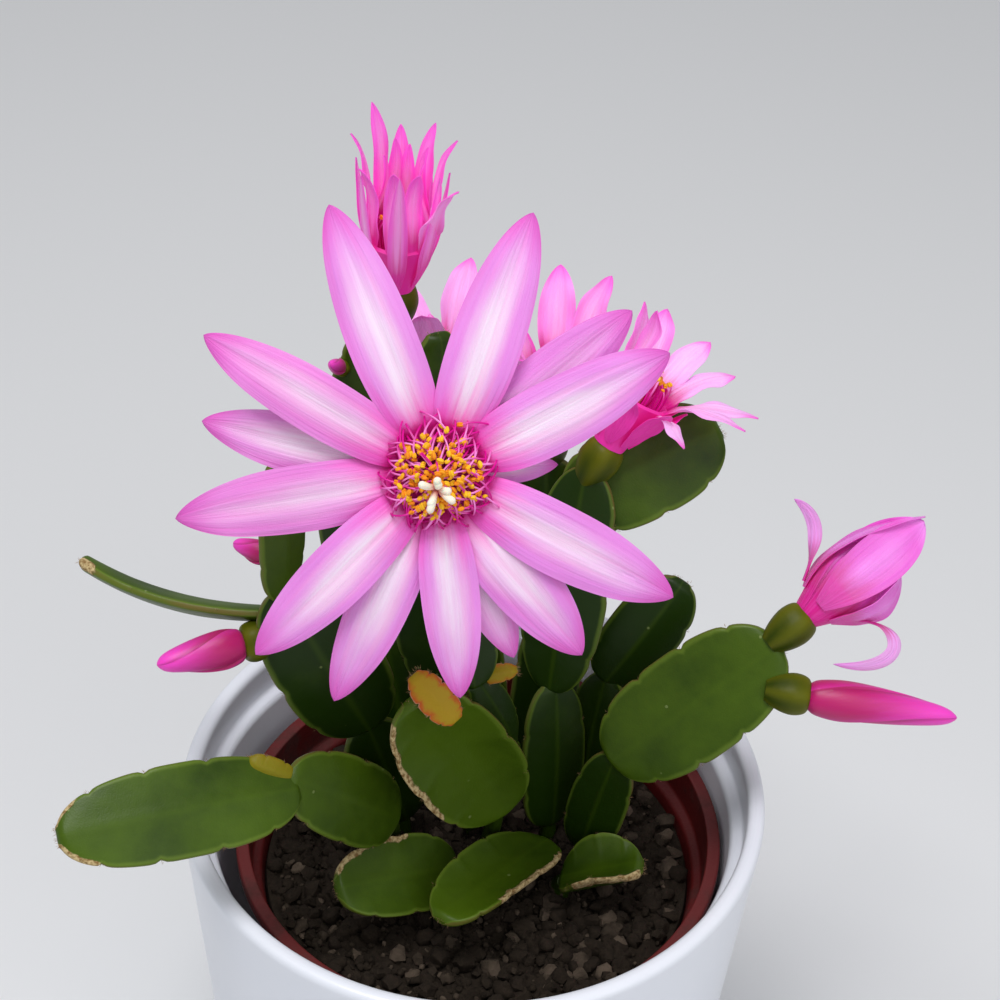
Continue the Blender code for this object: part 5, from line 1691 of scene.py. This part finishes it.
class CACTUS_OT_bristles(bpy.types.Operator):
    """Grow the areoles' tufts on every segment"""

    bl_idname = "cactus.bristles"
    bl_label = "Bristles"

    def execute(self, context):
        settings = context.scene.cactus_stems
        seats = []
        for stem in STEMS.values():
            for shape in stem.pads:
                seats += areoles_of(shape, AREOLE_SIZE)
        for shape in YOUNG_PADS.values():
            seats += areoles_of(shape, YOUNG_AREOLE_SIZE)
        mesh = bristle_mesh("Bristles", seats, settings.bristle, bristle_finish(settings))
        dress(shaped("areole_bristles", mesh, []), "stem")
        return {"FINISHED"}


class CACTUS_OT_petals(bpy.types.Operator):
    """Make the petals and the tube of every open bloom"""

    bl_idname = "cactus.petals"
    bl_label = "Petals"

    def execute(self, context):
        settings = context.scene.cactus_petals
        lilac = petal_finish("petal", settings, "petal", LILAC_STRIPE)
        pink = petal_finish("deep_petal", settings, "back", PINK_STRIPE, settings.painted_glow)
        thickness = settings.thickness / MM
        for order, (name, bloom) in enumerate(BLOOMS.items()):
            main_bloom = name == "bloom_front"
            form, dice, seat = Form(), random.Random(BLOOM_SEED + order), flower_frame(bloom)
            grid = MAIN_PETAL_GRID if main_bloom else BACK_PETAL_GRID
            waves = 1.0 if main_bloom else BACK_WAVES
            slimness = SLIMNESS.get(name, 1.0)
            add_tube(form, seat)
            for turn, length, opening in INNER_PETALS.get(name, []):
                slim = open_petal(turn, length, opening, INNER_WIDTH, INNER_LIFT)
                add_petal(form, slim, seat, grid, thickness, dice)
            count, first, reach, height = SEPALS.get(name, (0, 0, 0, 0))
            for index in range(count):
                sepal = outer_petal(first + 360 * index / count, reach, height, dice)
                sepal = sepal._replace(width=sepal.width * slimness)
                add_petal(form, sepal, seat, grid, thickness, dice, SEPAL_TINT, fade=SEPAL_FADES[name])
            for petal in bloom.petals:
                slim = petal._replace(width=petal.width * slimness)
                add_petal(form, slim, seat, grid, thickness, dice, PALENESS[name](petal.turn), waves)
            slot = "petal" if main_bloom else "deep_petal"
            form.dress(name + "_silk", [lilac if main_bloom else pink], slot, name + "_petals")
        return {"FINISHED"}


class CACTUS_OT_stamens(bpy.types.Operator):
    """Grow the stamens of every open bloom"""

    bl_idname = "cactus.stamens"
    bl_label = "Stamens"

    def execute(self, context):
        settings = context.scene.cactus_stamens
        threads, sacs = filament_finish(settings), anther_finish(settings)
        for name, bunch in BUNCHES.items():
            mesh = stamen_mesh("Stamens_" + name, bunch, settings, threads, sacs)
            mesh.transform(frame_matrix(*flower_frame(BLOOMS[name])))
            dress(shaped(name + "_threads", mesh, []), "stamen", name + "_stamens")
        return {"FINISHED"}


class CACTUS_OT_stigmas(bpy.types.Operator):
    """Make the style and the pale lobes of every open bloom"""

    bl_idname = "cactus.stigmas"
    bl_label = "Stigmas"

    def execute(self, context):
        finish = stigma_finish(context.scene.cactus_stamens)
        shares = np.linspace(0, 1, LOBE_ROWS)
        swell = 0.62 + 0.38 * np.sin(math.pi / 2 * shares)
        close = np.sqrt(np.clip(1 - (np.clip(shares - 0.8, 0, 1) / 0.2) ** 2, 0.01, 1))
        for name, bunch in BUNCHES.items():
            mouth, axis, right, up = flower_frame(BLOOMS[name])
            form, dice = Form(), random.Random(bunch.seed)
            lean = -right * 0.2 * bunch.lobe_radius - up * 2.2 * bunch.lobe_radius
            top = mouth + axis * STYLE_TOP + lean
            style = smooth_line([mouth + axis * TUBE_FLOOR, mouth, top], STYLE_ROWS)
            rings = tube_rings(style, STYLE_RADIUS, LOBE_SIDES)
            form.add(rings, along=np.linspace(0, 0.5, STYLE_ROWS)[:, None])
            for index in range(bunch.lobes):
                turn = math.radians(20 + 360 * index / bunch.lobes + dice.uniform(-34, 34))
                out = right * math.cos(turn) + up * math.sin(turn)
                length = bunch.lobe_length * dice.uniform(0.6, 1.1)
                spread = dice.uniform(0.25, 0.9)
                knots = [
                    top - axis * 0.5,
                    top + out * 0.5 * spread * length + axis * 0.55 * length,
                    top + out * spread * length + axis * (1.05 - 0.5 * spread) * length,
                ]
                radii = bunch.lobe_radius * swell * close
                rings = tube_rings(smooth_line(knots, LOBE_ROWS), radii, LOBE_SIDES)
                form.add(rings, along=(0.25 + 0.75 * shares)[:, None])
            form.dress(name + "_lobes", [finish], "stigma", name + "_stigma")
        return {"FINISHED"}


class CACTUS_OT_buds(bpy.types.Operator):
    """Make the closed buds"""

    bl_idname = "cactus.buds"
    bl_label = "Buds"

    def execute(self, context):
        finish = bud_finish(context.scene.cactus_petals)
        for order, (name, bud) in enumerate(BUDS.items()):
            seat, tip = seat_of(bud)[1], np.array(bud.tip)
            length = np.linalg.norm(tip - seat)
            profile = furled_profile([(bud.radius * r, length * h) for r, h in BUD_OUTLINE])
            rings, folds, heights = furled_rings(profile, *BUD_FURL, seat, *axis_frame(tip - seat))
            form = Form()
            form.add(rings, along=heights, fold=folds, tone=0.2 * order)
            form.dress(name + "_furled", [finish], "bud", name)
        return {"FINISHED"}


class CACTUS_OT_half_open(bpy.types.Operator):
    """Make the half-open flower at the right"""

    bl_idname = "cactus.half_open"
    bl_label = "Half-open flower"

    def execute(self, context):
        settings = context.scene.cactus_petals
        painted_glow = HALF_OPEN_PAINTED_GLOW * settings.painted_glow
        finish = petal_finish("half_open_petal", settings, "half_open", HALF_OPEN_STRIPE, painted_glow)
        seat = flower_frame(HALF_OPEN)
        profile = furled_profile(HALF_OPEN_CORE) + [(POLE, -TUBE_LENGTH)]
        rings, folds, heights = furled_rings(profile, *HALF_OPEN_FURL, *seat)
        form, dice = Form(), random.Random(HALF_OPEN_SEED)
        form.add(rings, along=0.08 + 0.9 * heights, across=2 * folds - 1, tone=0.7)
        thickness = settings.thickness / MM
        for petal in HALF_OPEN.petals:
            shape, tint, twist = petal, 0.0, 0.0
            if petal.width < CURLED_WIDTH:
                shape = petal._replace(width=CURLED_SLIMNESS * petal.width)
                tint, twist = CURLED_TINT, CURLED_TWIST
            add_petal(form, shape, seat, HALF_OPEN_GRID, thickness, dice, tint, HALF_OPEN_WAVES, twist)
        form.dress("half_open_silk", [finish], "deep_petal", "bloom_half_open")
        return {"FINISHED"}


class CACTUS_OT_stage(bpy.types.Operator):
    """Set the pale floor, the soft studio light and the camera"""

    bl_idname = "cactus.stage"
    bl_label = "Stage"

    def execute(self, context):
        scene = context.scene
        settings = scene.cactus_stage
        scene.view_settings.view_transform = "Standard"
        corners = [(x * FLOOR_REACH, y * FLOOR_REACH, FLOOR_LEVEL) for x, y in UNIT_CORNERS]
        mesh = bpy.data.meshes.new("floor")
        mesh.from_pydata(corners, [], [(0, 1, 2, 3)])
        paper = Finish("floor_paper", Roughness=0.7, Base_Color=settings.floor_colour)
        mesh.materials.append(paper.material)
        floor = bpy.data.objects.new("floor", mesh)
        scene.collection.objects.link(floor)
        world = bpy.data.worlds.new("studio")
        world.use_nodes = True
        background = world.node_tree.nodes["Background"]
        background.inputs["Color"].default_value = (*settings.air_colour, 1.0)
        background.inputs["Strength"].default_value = settings.air
        scene.world = world
        for name, (setting, size, place) in LAMPS.items():
            lamp = bpy.data.lights.new(name, "AREA")
            lamp.energy = getattr(settings, setting)
            lamp.size = size
            made = bpy.data.objects.new(name, lamp)
            made.location = place
            made.rotation_mode = "QUATERNION"
            made.rotation_quaternion = (Vector(LAMP_AIM) - Vector(place)).to_track_quat("-Z", "Y")
            scene.collection.objects.link(made)
        view = bpy.data.cameras.new("camera")
        view.lens = CAMERA_LENS
        view.sensor_width = CAMERA_SENSOR
        view.clip_start = CAMERA_NEAR
        camera = bpy.data.objects.new("camera", view)
        forward = Vector((0.0, math.cos(CAMERA_PITCH), -math.sin(CAMERA_PITCH)))
        level_up = Vector((0.0, math.sin(CAMERA_PITCH), math.cos(CAMERA_PITCH)))
        level_right = Vector((1.0, 0.0, 0.0))
        right = level_right * math.cos(CAMERA_ROLL) - level_up * math.sin(CAMERA_ROLL)
        up = level_right * math.sin(CAMERA_ROLL) + level_up * math.cos(CAMERA_ROLL)
        basis = Matrix((right, up, -forward)).transposed().to_4x4()
        camera.matrix_world = Matrix.Translation(CAMERA_PLACE) @ basis
        scene.collection.objects.link(camera)
        scene.camera = camera
        return {"FINISHED"}


OPERATORS = (
    CACTUS_OT_cachepot,
    CACTUS_OT_nursery_pot,
    CACTUS_OT_soil,
    CACTUS_OT_stems,
    CACTUS_OT_young_pads,
    CACTUS_OT_bristles,
    CACTUS_OT_petals,
    CACTUS_OT_stamens,
    CACTUS_OT_stigmas,
    CACTUS_OT_buds,
    CACTUS_OT_half_open,
    CACTUS_OT_stage,
)


class CACTUS_PT_panel(bpy.types.Panel):
    """Lists the pieces of the plant and their settings"""

    bl_label = "Easter Cactus"
    bl_idname = "CACTUS_PT_panel"
    bl_space_type = "VIEW_3D"
    bl_region_type = "UI"
    bl_category = "Easter Cactus"

    def draw(self, context):
        layout = self.layout
        for operator in OPERATORS:
            layout.operator(operator.bl_idname)
        for pointer, group in SETTINGS.items():
            box = layout.box()
            settings = getattr(context.scene, pointer)
            for name in group.__annotations__:
                box.prop(settings, name)


def register():
    for group in SETTINGS.values():
        bpy.utils.register_class(group)
    for operator in OPERATORS:
        bpy.utils.register_class(operator)
    bpy.utils.register_class(CACTUS_PT_panel)
    for pointer, group in SETTINGS.items():
        setattr(bpy.types.Scene, pointer, PointerProperty(type=group))


def unregister():
    for pointer in SETTINGS:
        delattr(bpy.types.Scene, pointer)
    for made in (CACTUS_PT_panel, *reversed(OPERATORS), *reversed(SETTINGS.values())):
        bpy.utils.unregister_class(made)


def main():
    register()
    for operator in OPERATORS:
        group, call = operator.bl_idname.split(".")
        getattr(getattr(bpy.ops, group), call)()


if __name__ == "__main__":
    main()
